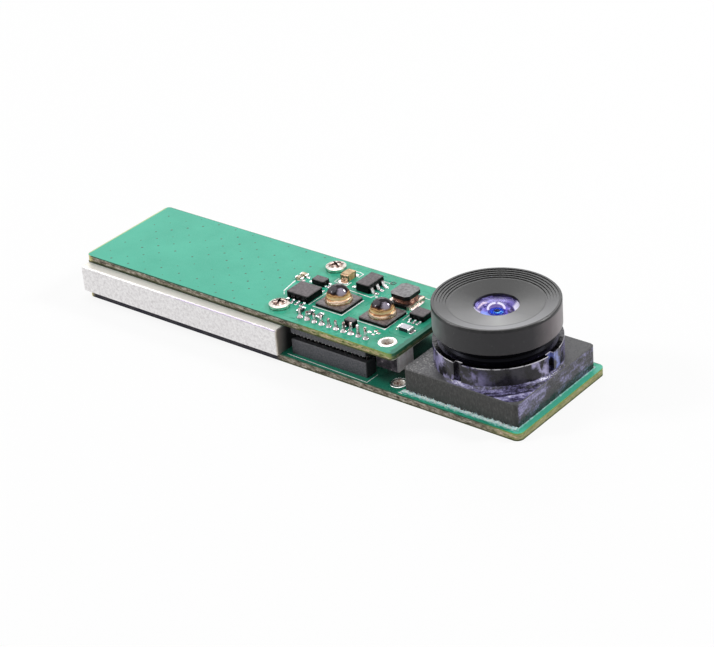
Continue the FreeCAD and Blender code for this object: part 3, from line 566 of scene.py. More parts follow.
def dome_glass():
    """Cast clear dome, painted with what shows in it: dark above where the die shows through, a dim and a
    bright painted highlight like two panes, and a painted amber glow from the gold cup round its foot.
    """
    s = Shader("lamp_dome_clear")
    level = s.z + (s.noise(1.1, 4, 0.6) * 0.7 - 0.35)
    # Painted amber glow of the gold cup low down, turning dark above.
    s.colour = s.ramp(level * 0.5 - 3.05, 0, (980, 720, 420), 0.1, (780, 460, 180), 0.15, (240, 100, 40),
                      0.19, (660, 380, 160), 0.24, (100, 40, 20), 0.3, (10, 6, 6), 0.44, (8, 6, 8),
                      0.66, (30, 26, 30))
    above = s.rise(s.z, 6.3, 6.6)
    blur = s.noise(1.1, 4, 0.6) * 0.16 - 0.08
    # A dim and a bright painted highlight, shaped like panes, high on the dome.
    dim = above * s.rise(blur + s.facing(-0.12, -0.55, 0.82), 0.9, 0.97)
    s.over(dim * 0.8, (90, 80, 95))
    bright_highlight = above * s.rise(blur + s.facing(0.69, -0.35, 0.63), 0.89, 0.985)
    s.over(bright_highlight * 0.85, (420, 370, 460))
    # Elsewhere above, dark and metallic, so that it shows no sheen of the white surroundings.
    mirror = above * (1 - s.either(dim, bright_highlight))
    return s.done(s.colour, 0.1, (s.noise(1.6, 2), 0.08, 0.03), mirror * 0.9, IOR=1.45,
                  Specular_IOR_Level=0.2)


def low_lead():
    """Leads of flat chips: tinned feet, the rise up to the body in shade."""
    s = Shader("lead_low")
    tin = s.ramp(s.noise(4, 4), 0.3, (550, 520, 540), 0.6, (900, 890, 910))
    shade = s.rise(s.z, UPPER_TOP + 0.16, UPPER_TOP + 0.26)
    return s.done(s.mix(shade, tin, (20, 15, 18)), 0.28, (s.noise(9), 0.3, 0.02), 1)


def nut_metal():
    """Tinned nut block: its near side is painted with a dark reflection of the connector, its right side is
    bright and hardly metallic.
    """
    s = Shader("nut_tinned")
    bright = s.ramp(s.noise(1.6, 4), 0.3, (780, 700, 720), 0.6, (970, 940, 950))
    dark_reflection = s.ramp(s.noise(1.3, 4, 0.7), 0.4, (12, 12, 14), 0.62, (60, 52, 62), 0.75, (300, 270, 280))
    return s.done(s.mix(s.rise(s.ny, -0.5, -0.8), bright, dark_reflection), 0.4, (s.noise(3, 3), 0.4, 0.04),
                  s.between(s.rise(s.nx, 0.5, 0.8), 1, 0.05))


def ring_solder():
    """Solder round the holes; their walls are hardly metallic, painted with patches of shade and reflected
    light in brown, dark and near white.
    """
    s = Shader("ring_solder")
    tin = s.ramp(s.noise(2.2, 4, 0.65), 0.33, (500, 500, 480), 0.5, (840, 840, 830), 0.7, (950, 950, 950))
    inside = s.either(s.rise(s.radius(*UPPER_HOLE), 0.7, 0.62), s.rise(s.radius(*MAIN_HOLE), 0.7, 0.62))
    wall_shading = s.ramp(s.noise(1.5, 3), 0.34, (60, 20, 10), 0.42, (360, 170, 120), 0.48, (800, 700, 620),
                  0.6, (960, 940, 900))
    return s.done(s.mix(inside, tin, wall_shading), s.between(s.noise(4, 3), 0.14, 0.34),
                  (s.noise(3, 3), 0.4, 0.05), s.between(inside, 1, 0.05))


def pin_metal():
    """Clipped wire: grey brown sides, raw copper and bright specks at the cut tip."""
    s = Shader("pin_wire")
    side = s.ramp(s.noise(3, 4, 0.6, (1, 1, 0.5)), 0.35, (160, 110, 110), 0.5, (600, 540, 540),
                  0.7, (920, 900, 920))
    tip = s.ramp(s.noise(4, 3), 0.38, (60, 35, 35), 0.5, (400, 280, 260), 0.6, (920, 840, 840))
    return s.done(s.mix(s.rise(s.z, 5.82, 5.98), side, tip), s.between(s.noise(5, 3), 0.18, 0.4),
                  (s.noise(5, 3), 0.3, 0.02), 1)


def gold(name, colour):
    s = Shader(name)
    dark = tuple(c * 0.6 for c in colour)
    tone = s.ramp(s.noise(3, 4), 0.3, dark, 0.55, colour, 0.75, (980, 840, 600))
    return s.done(tone, s.between(s.noise(5), 0.15, 0.35), (s.noise(6), 0.3, 0.02), 1)


def flare_gold():
    """Pale gold collar, with brown lines and cream lines of painted highlight that run round it."""
    s = Shader("lamp_flare")
    sway = s.noise(1.1, 3) * 0.5 - 0.25
    level = (s.z - (UPPER_TOP + 0.42) + sway) * 1.6
    tone = s.ramp(level, 0.08, (800, 620, 420), 0.24, (970, 860, 760), 0.42, (920, 680, 480),
                  0.5, (360, 150, 70), 0.58, (970, 800, 660), 0.76, (750, 440, 220), 0.9, (220, 90, 40))
    return s.done(tone, s.between(s.noise(4, 3), 0.2, 0.4), (s.noise(3, 3), 0.3, 0.03), 0.85)


def silk_paint():
    """Printed ink: nearly white, thin in places."""
    s = Shader("silk_white")
    return s.done(s.ramp(s.noise(5, 4), 0.3, (620, 740, 700), 0.45, (920, 930, 920), 0.7, (970, 970, 960)),
                  0.6, (s.noise(12), 0.3, 0.01))


def ceramic(name, dark, base, light, scale=3, rough=0.4):
    s = Shader(name)
    return s.done(s.ramp(s.noise(scale, 5, 0.6), 0.3, dark, 0.5, base, 0.7, light),
                  s.between(s.noise(scale * 2), rough * 0.8, rough * 1.25),
                  (s.noise(scale * 4, 3), 0.3, 0.02))


def choke_ferrite():
    s = Shader("choke_ferrite")
    top = s.rise(s.nz, 0.5, 0.9) * s.rise(s.z, 6.3, 6.4)
    body = speckled(s, (14, 12, 13), 0.6, 3)
    cap = s.ramp(s.noise(2.5, 5, 0.7), 0.38, (80, 77, 80), 0.6, (210, 205, 210))
    # The sides are painted as shade: metallic, so that they show no sheen.
    return s.done(s.mix(top, body, cap), s.between(s.noise(3), 0.35, 0.55), (s.noise(9, 3), 0.4, 0.02),
                  s.rise(s.nz, 0.5, 0.2) * 0.8)


def copper_wire():
    s = Shader("copper_wire")
    return s.done(s.ramp(s.noise(2.5, 4), 0.3, (50, 14, 10), 0.55, (170, 65, 40), 0.72, (420, 230, 160)),
                  0.3, (s.noise(8), 0.2, 0.02), 0.7, Coat_Weight=0.5, Coat_Roughness=0.1)


def resistor():
    """Dark ceramic with a pale printed top; the tiny parts at the left are cream and brown."""
    s = Shader("resistor_dark")
    body = speckled(s, (12, 15, 20), 0.4, 7)
    cap = s.ramp(s.noise(3, 4), 0.3, (460, 460, 540), 0.6, (720, 710, 780))
    big = s.rise(s.x, 9, 9.5)
    cream = s.ramp(s.noise(3.4, 4, 0.7), 0.38, (50, 25, 15), 0.48, (320, 200, 90), 0.56, (660, 520, 320),
                   0.66, (860, 800, 660))
    body = s.mix(s.rise(s.x, -3.9, -4.3), body, cream)
    return s.done(s.mix(s.rise(s.nz, 0.5, 0.9) * big, body, cap), 0.35, (s.noise(9), 0.25, 0.02))


def via_fill():
    s = Shader("via_fill")
    tone = s.ramp(s.noise(0.8, 3), 0.35, (1, 30, 20), 0.65, (10, 150, 100))
    return s.done(tone, 0.4, (s.noise(9), 0.3, 0.02))


def track_mask():
    """Green lacquer over a copper track, a little paler."""
    s = Shader("mask_over_track")
    tone = s.ramp(s.noise(1.4, 4), 0.3, (12, 300, 180), 0.7, (40, 420, 270))
    return s.done(tone, 0.4, (s.noise(6), 0.25, 0.02), Specular_IOR_Level=0.2)


def adhesive():
    s = Shader("adhesive_pale")
    side = s.either(s.rise(s.y, -7.42, -7.6), s.rise(s.x, 29.35, 29.5))
    pale = s.ramp(s.noise(3, 5, 0.7), 0.3, (360, 600, 580), 0.5, (660, 840, 830), 0.7, (930, 960, 950))
    thin = s.ramp(s.noise(3, 5, 0.7), 0.3, (30, 280, 200), 0.5, (120, 440, 380), 0.7, (450, 660, 620))
    return s.done(s.mix(side, pale, thin), 0.5, (s.noise(5, 3), 0.5, 0.04), Subsurface_Weight=0.1,
                  Subsurface_Scale=0.0005)


MATERIALS = {
    "main_mask": board_material("main_mask", 0, MAIN_TOP, 24, 31, MAIN_LEFT, MAIN_RIGHT, MAIN_FAR,
                                (300, 310, 150), True),
    # The upper board's right end face is painted dark green as shade.
    "upper_mask": board_material("upper_mask", UPPER_BOTTOM, UPPER_TOP, -1, 5, UPPER_LEFT, UPPER_RIGHT,
                                 UPPER_FAR, (20, 110, 60), False),
    "aluminium": aluminium(),
    "pad": moulded("pad_film", (18, 20, 12), (30, 32, 25), 0.6),
    "screw": screw_metal(),
    "tinned": bright_metal("tinned", (760, 730, 740), 0.3, 5, (220, 180, 170)),
    "nut": nut_metal(),
    "solder": bright_metal("solder_bright", (800, 740, 760), 0.16, 3.2, (140, 110, 100)),
    "lead_low": low_lead(),
    "cap_end": bright_metal("cap_end", (360, 240, 150), 0.35, 4, (140, 80, 50)),
    "terminal": bright_metal("choke_terminal", (740, 600, 520), 0.35, 2.5, (300, 200, 160)),
    "cup": gold("lamp_cup", (900, 520, 180)),
    "flare": flare_gold(),
    "ring_solder": ring_solder(),
    "comb": moulded("comb_teeth", (300, 300, 280), (300, 300, 280), 0.5, 4),
    "pin": pin_metal(),
    "contact": gold("contact_gold", (860, 600, 300)),
    "gold": gold("lamp_gold", (950, 680, 380)),
    "socket": moulded("connector_black", (75, 75, 85), (30, 30, 34), 0.45, 6),
    "lamp": moulded("lamp_black", (8, 7, 8), (130, 108, 112), 0.4, 4, shaded_sides=True),
    "die": ceramic("lamp_die", (20, 16, 20), (50, 40, 45), (100, 80, 90)),
    "dome": dome_glass(),
    "chip": moulded("chip_black", (6, 6, 7), (75, 60, 66), 0.42, 5, shaded_sides=True),
    "ferrite": choke_ferrite(),
    "copper": copper_wire(),
    "tan": ceramic("capacitor_tan", (280, 140, 45), (500, 310, 120), (660, 480, 270)),
    "resistor": resistor(),
    "filler": moulded("gap_filler", (250, 300, 380), (300, 350, 420), 0.6),
    "adhesive": adhesive(),
    "holder": holder_plastic(),
    "barrel": anodised(),
    "lens": lens_front(),
    "inner": lens_inner(),
    "filter": ceramic("filter_blue", (100, 220, 300), (160, 320, 420), (240, 420, 520), 1, 0.1),
    "ceramic": ceramic("sensor_ceramic", (50, 50, 45), (80, 75, 70), (120, 110, 100)),
    "silicon": ceramic("sensor_silicon", (30, 25, 50), (60, 45, 90), (100, 80, 160), 2, 0.2),
    "lacquer": lacquer(),
    "silk": silk_paint(),
    "via": via_fill(),
    "track": track_mask(),
}


# The CAD nodes that each material goes on
NODES_OF = {
    "main_mask": "main_board", "upper_mask": "upper_board", "aluminium": "heat_block",
    "pad": "insulating_pad", "screw": "block_screws", "nut": "corner_nut",
    "socket": "socket_housing header_strip", "contact": "socket_contacts", "pin": "header_pins",
    "solder": "pin_solder",
    "lamp": "lamp_package_left lamp_package_right", "dome": "lamp_dome_left lamp_dome_right",
    "gold": "lamp_ring_left lamp_ring_right", "die": "lamp_die_left lamp_die_right",
    "chip": "driver_chip logic_chip sixlead_chip regulator_chip transistor processor_chip memory_chip",
    "lead_low": "driver_chip_leads logic_chip_leads regulator_chip_leads transistor_leads",
    "tinned": "sixlead_chip_leads resistor_ends small_part_ends", "ferrite": "choke_core",
    "copper": "choke_winding", "terminal": "choke_terminals", "tan": "capacitor_body",
    "cap_end": "capacitor_ends", "resistor": "resistor_body small_part_bodies",
    "filler": "processor_gap_pad memory_gap_pad", "adhesive": "holder_adhesive", "holder": "lens_holder",
    "ceramic": "sensor_package", "silicon": "sensor_die", "filter": "sensor_cover_glass infrared_filter",
    "barrel": "lens_barrel front_spacer rear_spacer retaining_ring", "lens": "front_lens",
    "inner": "second_lens third_lens fourth_lens", "lacquer": "locking_lacquer",
}


def paint_nodes():
    for key, names in NODES_OF.items():
        for name in names.split():
            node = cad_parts[name]
            if not node.material_slots:
                node.data.materials.append(MATERIALS[key])
            for place in node.material_slots:
                place.material = MATERIALS[key]


def circle(count):
    """Cosine and sine of angles evenly round a circle."""
    turns = [2 * math.pi * i / count for i in range(count)]
    return [(math.cos(turn), math.sin(turn)) for turn in turns]


def grid(rows, columns, ring=False, loop=False, flip=False):
    """Faces over rows of points. ring closes every row, loop joins the last row to the first."""
    faces = []
    for i in range(rows if loop else rows - 1):
        a, b = i * columns, (i + 1) % rows * columns
        for k in range(columns if ring else columns - 1):
            n = (k + 1) % columns
            faces.append((a + k, a + n, b + n, b + k) if flip else (a + k, b + k, b + n, a + n))
    return faces


class Shape:
    """Points and faces of one mesh, in millimetres."""

    def __init__(self):
        self.points = []
        self.faces = []

    def add(self, points, faces):
        start = len(self.points)
        self.points.extend(tuple(p) for p in points)
        self.faces.extend(tuple(start + i for i in face) for face in faces)

    def prism(self, outline, low, high):
        """A flat plate with this outline, its rim drawn in a little at the top."""
        count = len(outline)
        mid_x, mid_y = Vector((sum(p[0] for p in outline), sum(p[1] for p in outline))) / count
        points = [(x, y, low) for x, y in outline]
        points += [(mid_x + (x - mid_x) * 0.97, mid_y + (y - mid_y) * 0.97, high) for x, y in outline]
        faces = [(i, (i + 1) % count, (i + 1) % count + count, i + count) for i in range(count)]
        faces.append(tuple(range(count, 2 * count)))
        self.add(points, faces)

    def stroke(self, path, width, low, high, ragged=0.0):
        """A printed line or track along a path, with a slightly rounded back."""
        path = [Vector(p) for p in path]
        count = len(path)
        points = []
        for i, p in enumerate(path):
            first = (p - path[i - 1]).normalized() if i else Vector((0, 0))
            second = (path[i + 1] - p).normalized() if i + 1 < count else Vector((0, 0))
            along = (first + second).normalized()
            side = Vector((-along.y, along.x))
            stretch = 1 / max(0.5, abs(along.dot(second if second.length else first)))
            half = width / 2 * stretch * (1 + ragged * (chance.random() - 0.5))
            for share, z in ((-1, low), (-0.6, high), (0.6, high), (1, low)):
                q = p + side * half * share
                points.append((q.x, q.y, z))
        end = 4 * count
        self.add(points, grid(count, 4) + [(0, 1, 2, 3), (end - 1, end - 2, end - 3, end - 4)])

    def turned(self, centre, profile, segments=32, wobble=0.0, seed=0.0, cap=False):
        """A form turned about an upright axis from (radius, z) pairs. wobble makes its radii uneven."""
        points = []
        for radius, z in profile:
            for c, s in circle(segments):
                change = 1 + wobble * noise.noise(Vector((c + seed, s, z * 0.7 + seed)))
                points.append((centre[0] + radius * change * c, centre[1] + radius * change * s, z))
        faces = grid(len(profile), segments, ring=True, flip=True)
        if cap:
            top = (len(profile) - 1) * segments
            faces.append(tuple(top + i for i in range(segments)))
        self.add(points, faces)

    def tube(self, path, radii, sides=12):
        """A round wire along a path that mostly climbs, closed at its top."""
        points = []
        for i, (p, radius) in enumerate(zip(path, radii)):
            along = (path[min(i + 1, len(path) - 1)] - path[max(i - 1, 0)]).normalized()
            right = along.cross(Vector((0, 1, 0))).normalized()
            front = right.cross(along)
            points += [p + (right * c + front * s) * radius for c, s in circle(sides)]
        faces = grid(len(path), sides, ring=True, flip=True)
        faces.append(tuple((len(path) - 1) * sides + k for k in range(sides)))
        self.add(points, faces)

    def piece(self, name, material, slot, smooth=True, replaces=()):
        mesh = bpy.data.meshes.new(name)
        mesh.from_pydata([Vector(p) * METRE for p in self.points], [], self.faces)
        mesh.polygons.foreach_set("use_smooth", [smooth] * len(mesh.polygons))
        mesh.materials.append(MATERIALS[material])
        mesh.update()
        piece = bpy.data.objects.new(name, mesh)
        bpy.context.scene.collection.objects.link(piece)
        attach(piece, "root")
        if replaces:
            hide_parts(*replaces)
        return piece


def subdivide(path, step):
    """The same path with points at most step apart."""
    points = [Vector(path[0])]
    for a, b in zip(path, path[1:]):
        a, b = Vector(a), Vector(b)
        parts = max(1, math.ceil((b - a).length / step))
        points += [a + (b - a) * i / parts for i in range(1, parts + 1)]
    return points


# Details of the boards
def make_vias():
    """Small filled vias in every other place of a grid, with a few left out."""
    vias = Shape()
    for i in range(18):
        for j in range(11):
            if (i + j) % 2 == 0 or chance.random() < 0.10:
                continue
            x = -28.5 + 1.33 * i + chance.uniform(-0.05, 0.05)
            y = -6.55 + 1.26 * j + chance.uniform(-0.05, 0.05)
            r = chance.uniform(0.055, 0.11)
            profile = [(r * 1.25, UPPER_TOP), (r, UPPER_TOP + 0.012), (r * 0.6, UPPER_TOP + 0.005)]
            vias.turned((x, y), profile, 12, 0.2, r, True)
    vias.piece("upper_board_vias", "via", "board_mask")


def make_silk():
    """Printed lines on both boards, each a path and its width, with a dot and a mark."""
    low, high = UPPER_TOP, UPPER_TOP + SILK_LIFT
    lines = [
        ([(0.05, -3.45), (4.1, -3.47), (4.1, 0.4)], 0.16),
        ([(6.1, -3.49), (9.98, -3.48), (9.9, 0.57)], 0.16),
        ([(-4.9, -2.4), (-5.12, -1.1), (-5.3, 0.1)], 0.15),
        ([(-4.75, -2.55), (-4.35, -3.0)], 0.09), ([(-5.15, 0.25), (-4.6, 0.3)], 0.09),
        ([(-0.5, -3.45), (-0.5, -0.3)], 0.10),
        ([(-1.35, 2.15), (-1.35, 2.95)], 0.13), ([(-1.35, 2.1), (0.4, 2.05), (0.4, 2.9)], 0.13),
        ([(-1.35, 4.15), (-1.35, 5.2), (-0.21, 5.26), (0.4, 5.1), (0.4, 4.2)], 0.13),
        ([(1.25, 1.4), (4.4, 1.3), (4.55, 1.9)], 0.13), ([(1.3, 4.95), (4.3, 4.9)], 0.13),
        ([(6.4, 0.75), (6.4, 4.25), (10.3, 4.2)], 0.13),
        ([(10.4, -0.95), (10.35, 2.0), (13.1, 1.95)], 0.13),
    ]
    silk = Shape()
    for path, width in lines:
        silk.stroke(subdivide(path, 0.2), width, low, high, 0.6)
    silk.prism([(4.85 + 0.16 * c, 1.7 + 0.16 * s) for c, s in circle(12)], low, high)
    silk.piece("upper_board_silk", "silk", "board_mask", False)
    low, high = MAIN_TOP, MAIN_TOP + SILK_LIFT
    silk = Shape()
    silk.stroke(subdivide([(-0.56, -7.55), (10.59, -7.85), (10.63, -5.98)], 0.25), 0.09, low, high, 0.4)
    silk.prism([(14.6, -7.72), (15.25, -7.8), (14.95, -7.4)], low, high)
    silk.piece("main_board_silk", "silk", "board_mask", False)


def make_hole_rings():
    """Tinned rings round both holes: a wide lip of solder, then the plated wall."""
    rings = Shape()
    holes = ((UPPER_HOLE, UPPER_BOTTOM, UPPER_TOP, 1.06), (MAIN_HOLE, 0.0, MAIN_TOP, 1.02))
    for (x, y), bottom, top, outer in holes:
        inner = HOLE_RADIUS - 0.04
        throat = inner - (0.14 if bottom > 0 else 0.0)
        lip = [(outer, top), (outer - 0.05, top + 0.05), (outer - 0.2, top + 0.085),
               (inner + 0.07, top + 0.06), (inner - 0.02, top)]
        wall = [(inner - 0.05, top - 0.12), (throat, top - 0.55), (throat, bottom + 0.06),
                (throat + 0.04, bottom + 0.01)]
        rings.turned((x, y), lip + wall, 48, 0.05, x)
    rings.piece("hole_rings", "ring_solder", "solder")


def make_solder_joints():
    """Ten wetted joints: a broad foot that climbs the pin in a hollow curve, each a little different."""
    joints = Shape()
    for i in range(PIN_COUNT):
        x = PIN_MIDDLE + i - (PIN_COUNT - 1) / 2
        tall = chance.uniform(0.30, 0.42)
        wide = chance.uniform(0.35, 0.40)
        profile = [(wide, UPPER_TOP)]
        for step in range(9):
            share = step / 8
            radius = PIN_RADIUS + 0.02 + (wide - 0.02 - PIN_RADIUS) * (1 - share) ** 1.9
            profile.append((radius, UPPER_TOP + 0.06 + tall * share))
        joints.turned((x, PIN_ROW), profile, 28, 0.12, i * 3.1)
    joints.piece("pin_joints", "solder", "solder", replaces=("pin_solder",))


LAND_POINTS = 20
LAND_HEIGHT = 0.05


def add_land(pads, x, y, width, depth):
    """A square land with round corners and a swell of solder on it."""
    outline = []
    for c, s in circle(LAND_POINTS):
        corner = (abs(c) ** 5 + abs(s) ** 5) ** -0.2
        swell = 1 + 0.05 * noise.noise(Vector((x + c, y + s, 0)))
        outline.append((x + width / 2 * c * corner * swell, y + depth / 2 * s * corner * swell))
    rows = ((1.0, 0.0), (0.96, 0.6), (0.75, 0.95), (0.35, 1.0))
    points = []
    for share, lift in rows:
        z = UPPER_TOP + LAND_HEIGHT * lift
        points += [(x + (px - x) * share, y + (py - y) * share, z) for px, py in outline]
    faces = grid(len(rows), LAND_POINTS, ring=True, flip=True)
    faces.append(tuple(LAND_POINTS * (len(rows) - 1) + i for i in range(LAND_POINTS)))
    pads.add(points, faces)


def make_pads():
    """Solder lands as x, y, width and depth: under every part's leads, and bare ones at the right."""
    lands = [(x, y, 0.42, 0.6) for x in (-3.1, -2.45, -1.8, -1.15) for y in (-3.95, -0.3)]
    lands += [(x, 2.3 + 0.85 * k, 0.6, 0.44) for x in (1.35, 4.4) for k in range(3)]
    lands += [(x, -0.75, 0.34, 0.5) for x in (11.2, 11.75, 12.3)]
    lands += [(11.75, 1.75, 1.2, 0.5), (6.0, -5.45, 0.42, 0.5), (6.8, -5.45, 0.42, 0.5),
              (6.4, -4.05, 0.5, 0.5)]
    lands += [(-0.46, 2.55, 1.35, 0.7), (-0.46, 4.5, 1.35, 0.6), (11.05, -2.4, 0.42, 0.95),
              (12.85, -2.4, 0.42, 0.95)]
    lands += [(7.0, 2.45, 0.7, 2.4), (9.75, 2.45, 0.7, 2.4)]
    lands += [(8.9, -4.75, 0.5, 0.42), (9.35, -4.2, 0.42, 0.5), (9.9, -4.5, 0.5, 0.36),
              (9.6, -5.0, 0.4, 0.3)]
    lands += [(-5.55, 1.35, 0.42, 0.4), (-4.5, 1.35, 0.5, 0.4), (-5.5, 0.55, 0.42, 0.36),
              (-4.5, 0.55, 0.42, 0.36)]
    lands += [(-3.55, 0.95, 0.5, 0.8), (-1.1, 0.95, 0.5, 0.8)]
    pads = Shape()
    for land in lands:
        add_land(pads, *land)
    pads.piece("part_lands", "solder", "solder")
    ring = Shape()
    rim = UPPER_TOP + 0.03
    ring.turned((4.55, 5.15), [(0.36, UPPER_TOP), (0.34, rim), (0.17, rim), (0.15, UPPER_TOP + 0.005)], 24)
    ring.piece("test_ring", "via", "solder")


def make_tracks():
    """Copper tracks that show through the mask as slightly raised, paler lines."""
    tracks = Shape()
    routes = [
        [(-1.05, -4.3), (-0.2, -4.7), (0.45, -5.5)], [(-0.4, -3.9), (0.9, -4.1), (1.45, -5.5)],
        [(4.4, -3.9), (4.4, -4.9), (3.45, -5.5)], [(4.9, -3.2), (4.9, -4.7), (4.45, -5.5)],
        [(5.3, -2.6), (5.3, -4.2), (5.45, -5.4)], [(7.5, -4.3), (8.3, -4.3), (8.9, -4.8)],
        [(5.2, 0.4), (5.2, 2.9), (4.4, 3.7)], [(5.6, 0.8), (5.6, 3.9), (4.9, 4.7)],
        [(4.5, 2.1), (5.0, 1.6), (5.0, -0.4)], [(10.4, -1.6), (11.0, -1.1), (11.2, -0.8)],
        [(10.35, -3.3), (10.9, -3.8), (12.9, -3.8)], [(13.2, -2.2), (13.2, 0.6), (12.6, 1.2)],
        [(0.3, 1.5), (0.8, 1.0), (0.8, 0.7)], [(1.0, 4.9), (2.4, 5.3), (4.1, 5.3)],
        [(6.2, 4.9), (7.6, 5.4), (10.6, 5.4)], [(-1.9, 5.3), (-0.9, 5.9), (3.0, 5.9)],
        [(-4.2, -5.9), (-1.9, -6.6), (0.2, -6.7)],
    ]
    for route in routes:
        tracks.stroke(subdivide(route, 0.5), 0.16, UPPER_TOP, UPPER_TOP + 0.012)
    tracks.piece("upper_board_tracks", "track", "board_mask")


def make_choke_wire():
    """Four turns of lacquered wire wound round the choke's waist."""
    low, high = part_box("choke_winding")
    low, high = low / METRE, high / METRE
    middle = (low + high) / 2
    turns = 4
    wire = (high.z - low.z) / turns / 2
    half_x, half_y = (high.x - low.x) / 2 - wire, (high.y - low.y) / 2 - wire
    coil = Shape()
    around, sides = 48, 8
    for turn in range(turns):
        z = low.z + wire * (2 * turn + 1)
        points = []
        for c, s in circle(around):
            corner = (abs(c) ** 4 + abs(s) ** 4) ** -0.25
            centre = Vector((middle.x + half_x * c * corner, middle.y + half_y * s * corner, z))
            out = Vector((c, s, 0))
            points += [centre + (out * side + Vector((0, 0, up))) * wire * 0.98
                       for side, up in circle(sides)]
        coil.add(points, grid(around, sides, ring=True, loop=True))
    coil.piece("choke_wire", "copper", "copper_wire", replaces=("choke_winding",))


def make_pins():
    """Ten clipped wires. Those at the left are cut shorter, and the cutter bent their tips over."""
    pins = Shape()
    for i in range(PIN_COUNT):
        x = PIN_MIDDLE + i - (PIN_COUNT - 1) / 2
        top = 6.40 if i >= 7 else chance.uniform(5.98, 6.16)
        lean = Vector((chance.uniform(-0.05, 0.05), chance.uniform(-0.04, 0.04), 0))
        foot = Vector((x, PIN_ROW, 5.2))
        head = Vector((x, PIN_ROW, top)) + lean
        path = [Vector((x, PIN_ROW, 1.25)), Vector((x, PIN_ROW, 4.6)), foot]
        path += [foot + (head - foot) * share for share in (0.3, 0.6, 0.85)]
        if i < 7:
            hook = Vector((chance.uniform(-0.16, -0.06), chance.uniform(-0.02, 0.08), 0))
            path += [head + hook * 0.25, head + hook * 0.8 + Vector((0, 0, 0.05))]
            pins.tube(path, [PIN_RADIUS] * 6 + [PIN_RADIUS * 0.94, PIN_RADIUS * 0.55])
        else:
            path += [head + Vector((0, 0, -0.05)), head]
            pins.tube(path, [PIN_RADIUS] * 7 + [PIN_RADIUS * 0.6])
    pins.piece("clipped_pins", "pin", "contact_gold", replaces=("header_pins",))


def make_comb():
    """Plastic teeth of the header strip that show as a row of dots over the connector."""
    comb = Shape()
    for i in range(PIN_COUNT):
        x = PIN_MIDDLE + i - (PIN_COUNT - 1) / 2 + chance.uniform(-0.04, 0.04)
        for side in (-0.24, 0.24):
            wide = chance.uniform(0.05, 0.08)
            points = [(x + side + dx * wide, -7.15 + dy, z) for z, thin in ((3.47, 1.0), (3.40, 0.8))
                      for dx, dy in ((-thin, 0.0), (thin, 0.0), (thin, 0.14), (-thin, 0.14))]
            comb.add(points, [(4, 7, 6, 5), (0, 1, 5, 4), (1, 2, 6, 5), (2, 3, 7, 6), (3, 0, 4, 7)])
    comb.piece("header_comb", "comb", "connector_black", False)


def make_lamp_insides():
    """Under each dome a gold cup with a dark middle, and round its foot a flared gold collar."""
    cups, flares = Shape(), Shape()
    floor, rim = UPPER_TOP + 0.125, UPPER_TOP + 0.42
    for i, centre in enumerate((LAMP_LEFT, LAMP_RIGHT)):
        bowl = [(1.17, floor + 0.16), (1.12, floor + 0.03), (0.95, floor + 0.005), (0.62, floor + 0.002)]
        cups.turned(centre, bowl, 48, 0.02, i)
        outer = [(1.50, rim), (1.53, rim + 0.08), (1.53, rim + 0.20), (1.48, rim + 0.34),
                 (1.41, rim + 0.48), (1.36, rim + 0.55)]
        inner = [(radius - 0.04, z) for radius, z in reversed(outer)]
        flares.turned(centre, outer + inner, 56, 0.02, i + 4)
    cups.piece("lamp_cups", "cup", "lamp_gold")
    flares.piece("lamp_flares", "flare", "lamp_gold")


# Details of the lens end
def square_reach(turn):
    """How far the holder's top goes from the axis in this direction."""
    return (HOLDER_HALF - 0.06) / max(abs(math.cos(turn)), abs(math.sin(turn)))


def make_lacquer_pool():
    """Lacquer that ran off the collar and dried on the holder's top, thickest at the near right."""
    pool = Shape()
    columns, rows = 150, 12
    first, last = math.radians(-112), math.radians(28)
    points = []
    for i in range(columns + 1):
        turn = first + (last - first) * i / columns
        share = i / columns
        ends = min(1, share / 0.12, (1 - share) / 0.12)
        corner = math.exp(-((math.degrees(turn) + 47) / 20) ** 2)
        reach = 0.25 + 1.1 * corner + 0.35 * noise.noise(Vector((turn * 3, 0.3, 0)))
        reach *= max(0.02, ends)
        far = min(square_reach(turn), COLLAR_RADIUS + max(0.03, reach * 1.9))
        for j in range(rows + 1):
            t = j / rows
            radius = COLLAR_RADIUS - 0.03 + (far - COLLAR_RADIUS + 0.03) * t
            ripple = noise.fractal(Vector((radius * 1.6, turn * 9, 1.7)), 0.7, 2.0, 4)
            climb = 0.30 * (1 - t) ** 3 + 0.11 * (1 - t * t) + 0.06 * ripple * (1 - t * t)
            z = HOLDER_TOP + 0.004 + max(0.0, climb) * max(0.05, ends)
            points.append((AXIS_X + radius * math.cos(turn), radius * math.sin(turn), z))
    pool.add(points, grid(columns + 1, rows + 1))
    pool.piece("lacquer_pool", "lacquer", "lacquer")


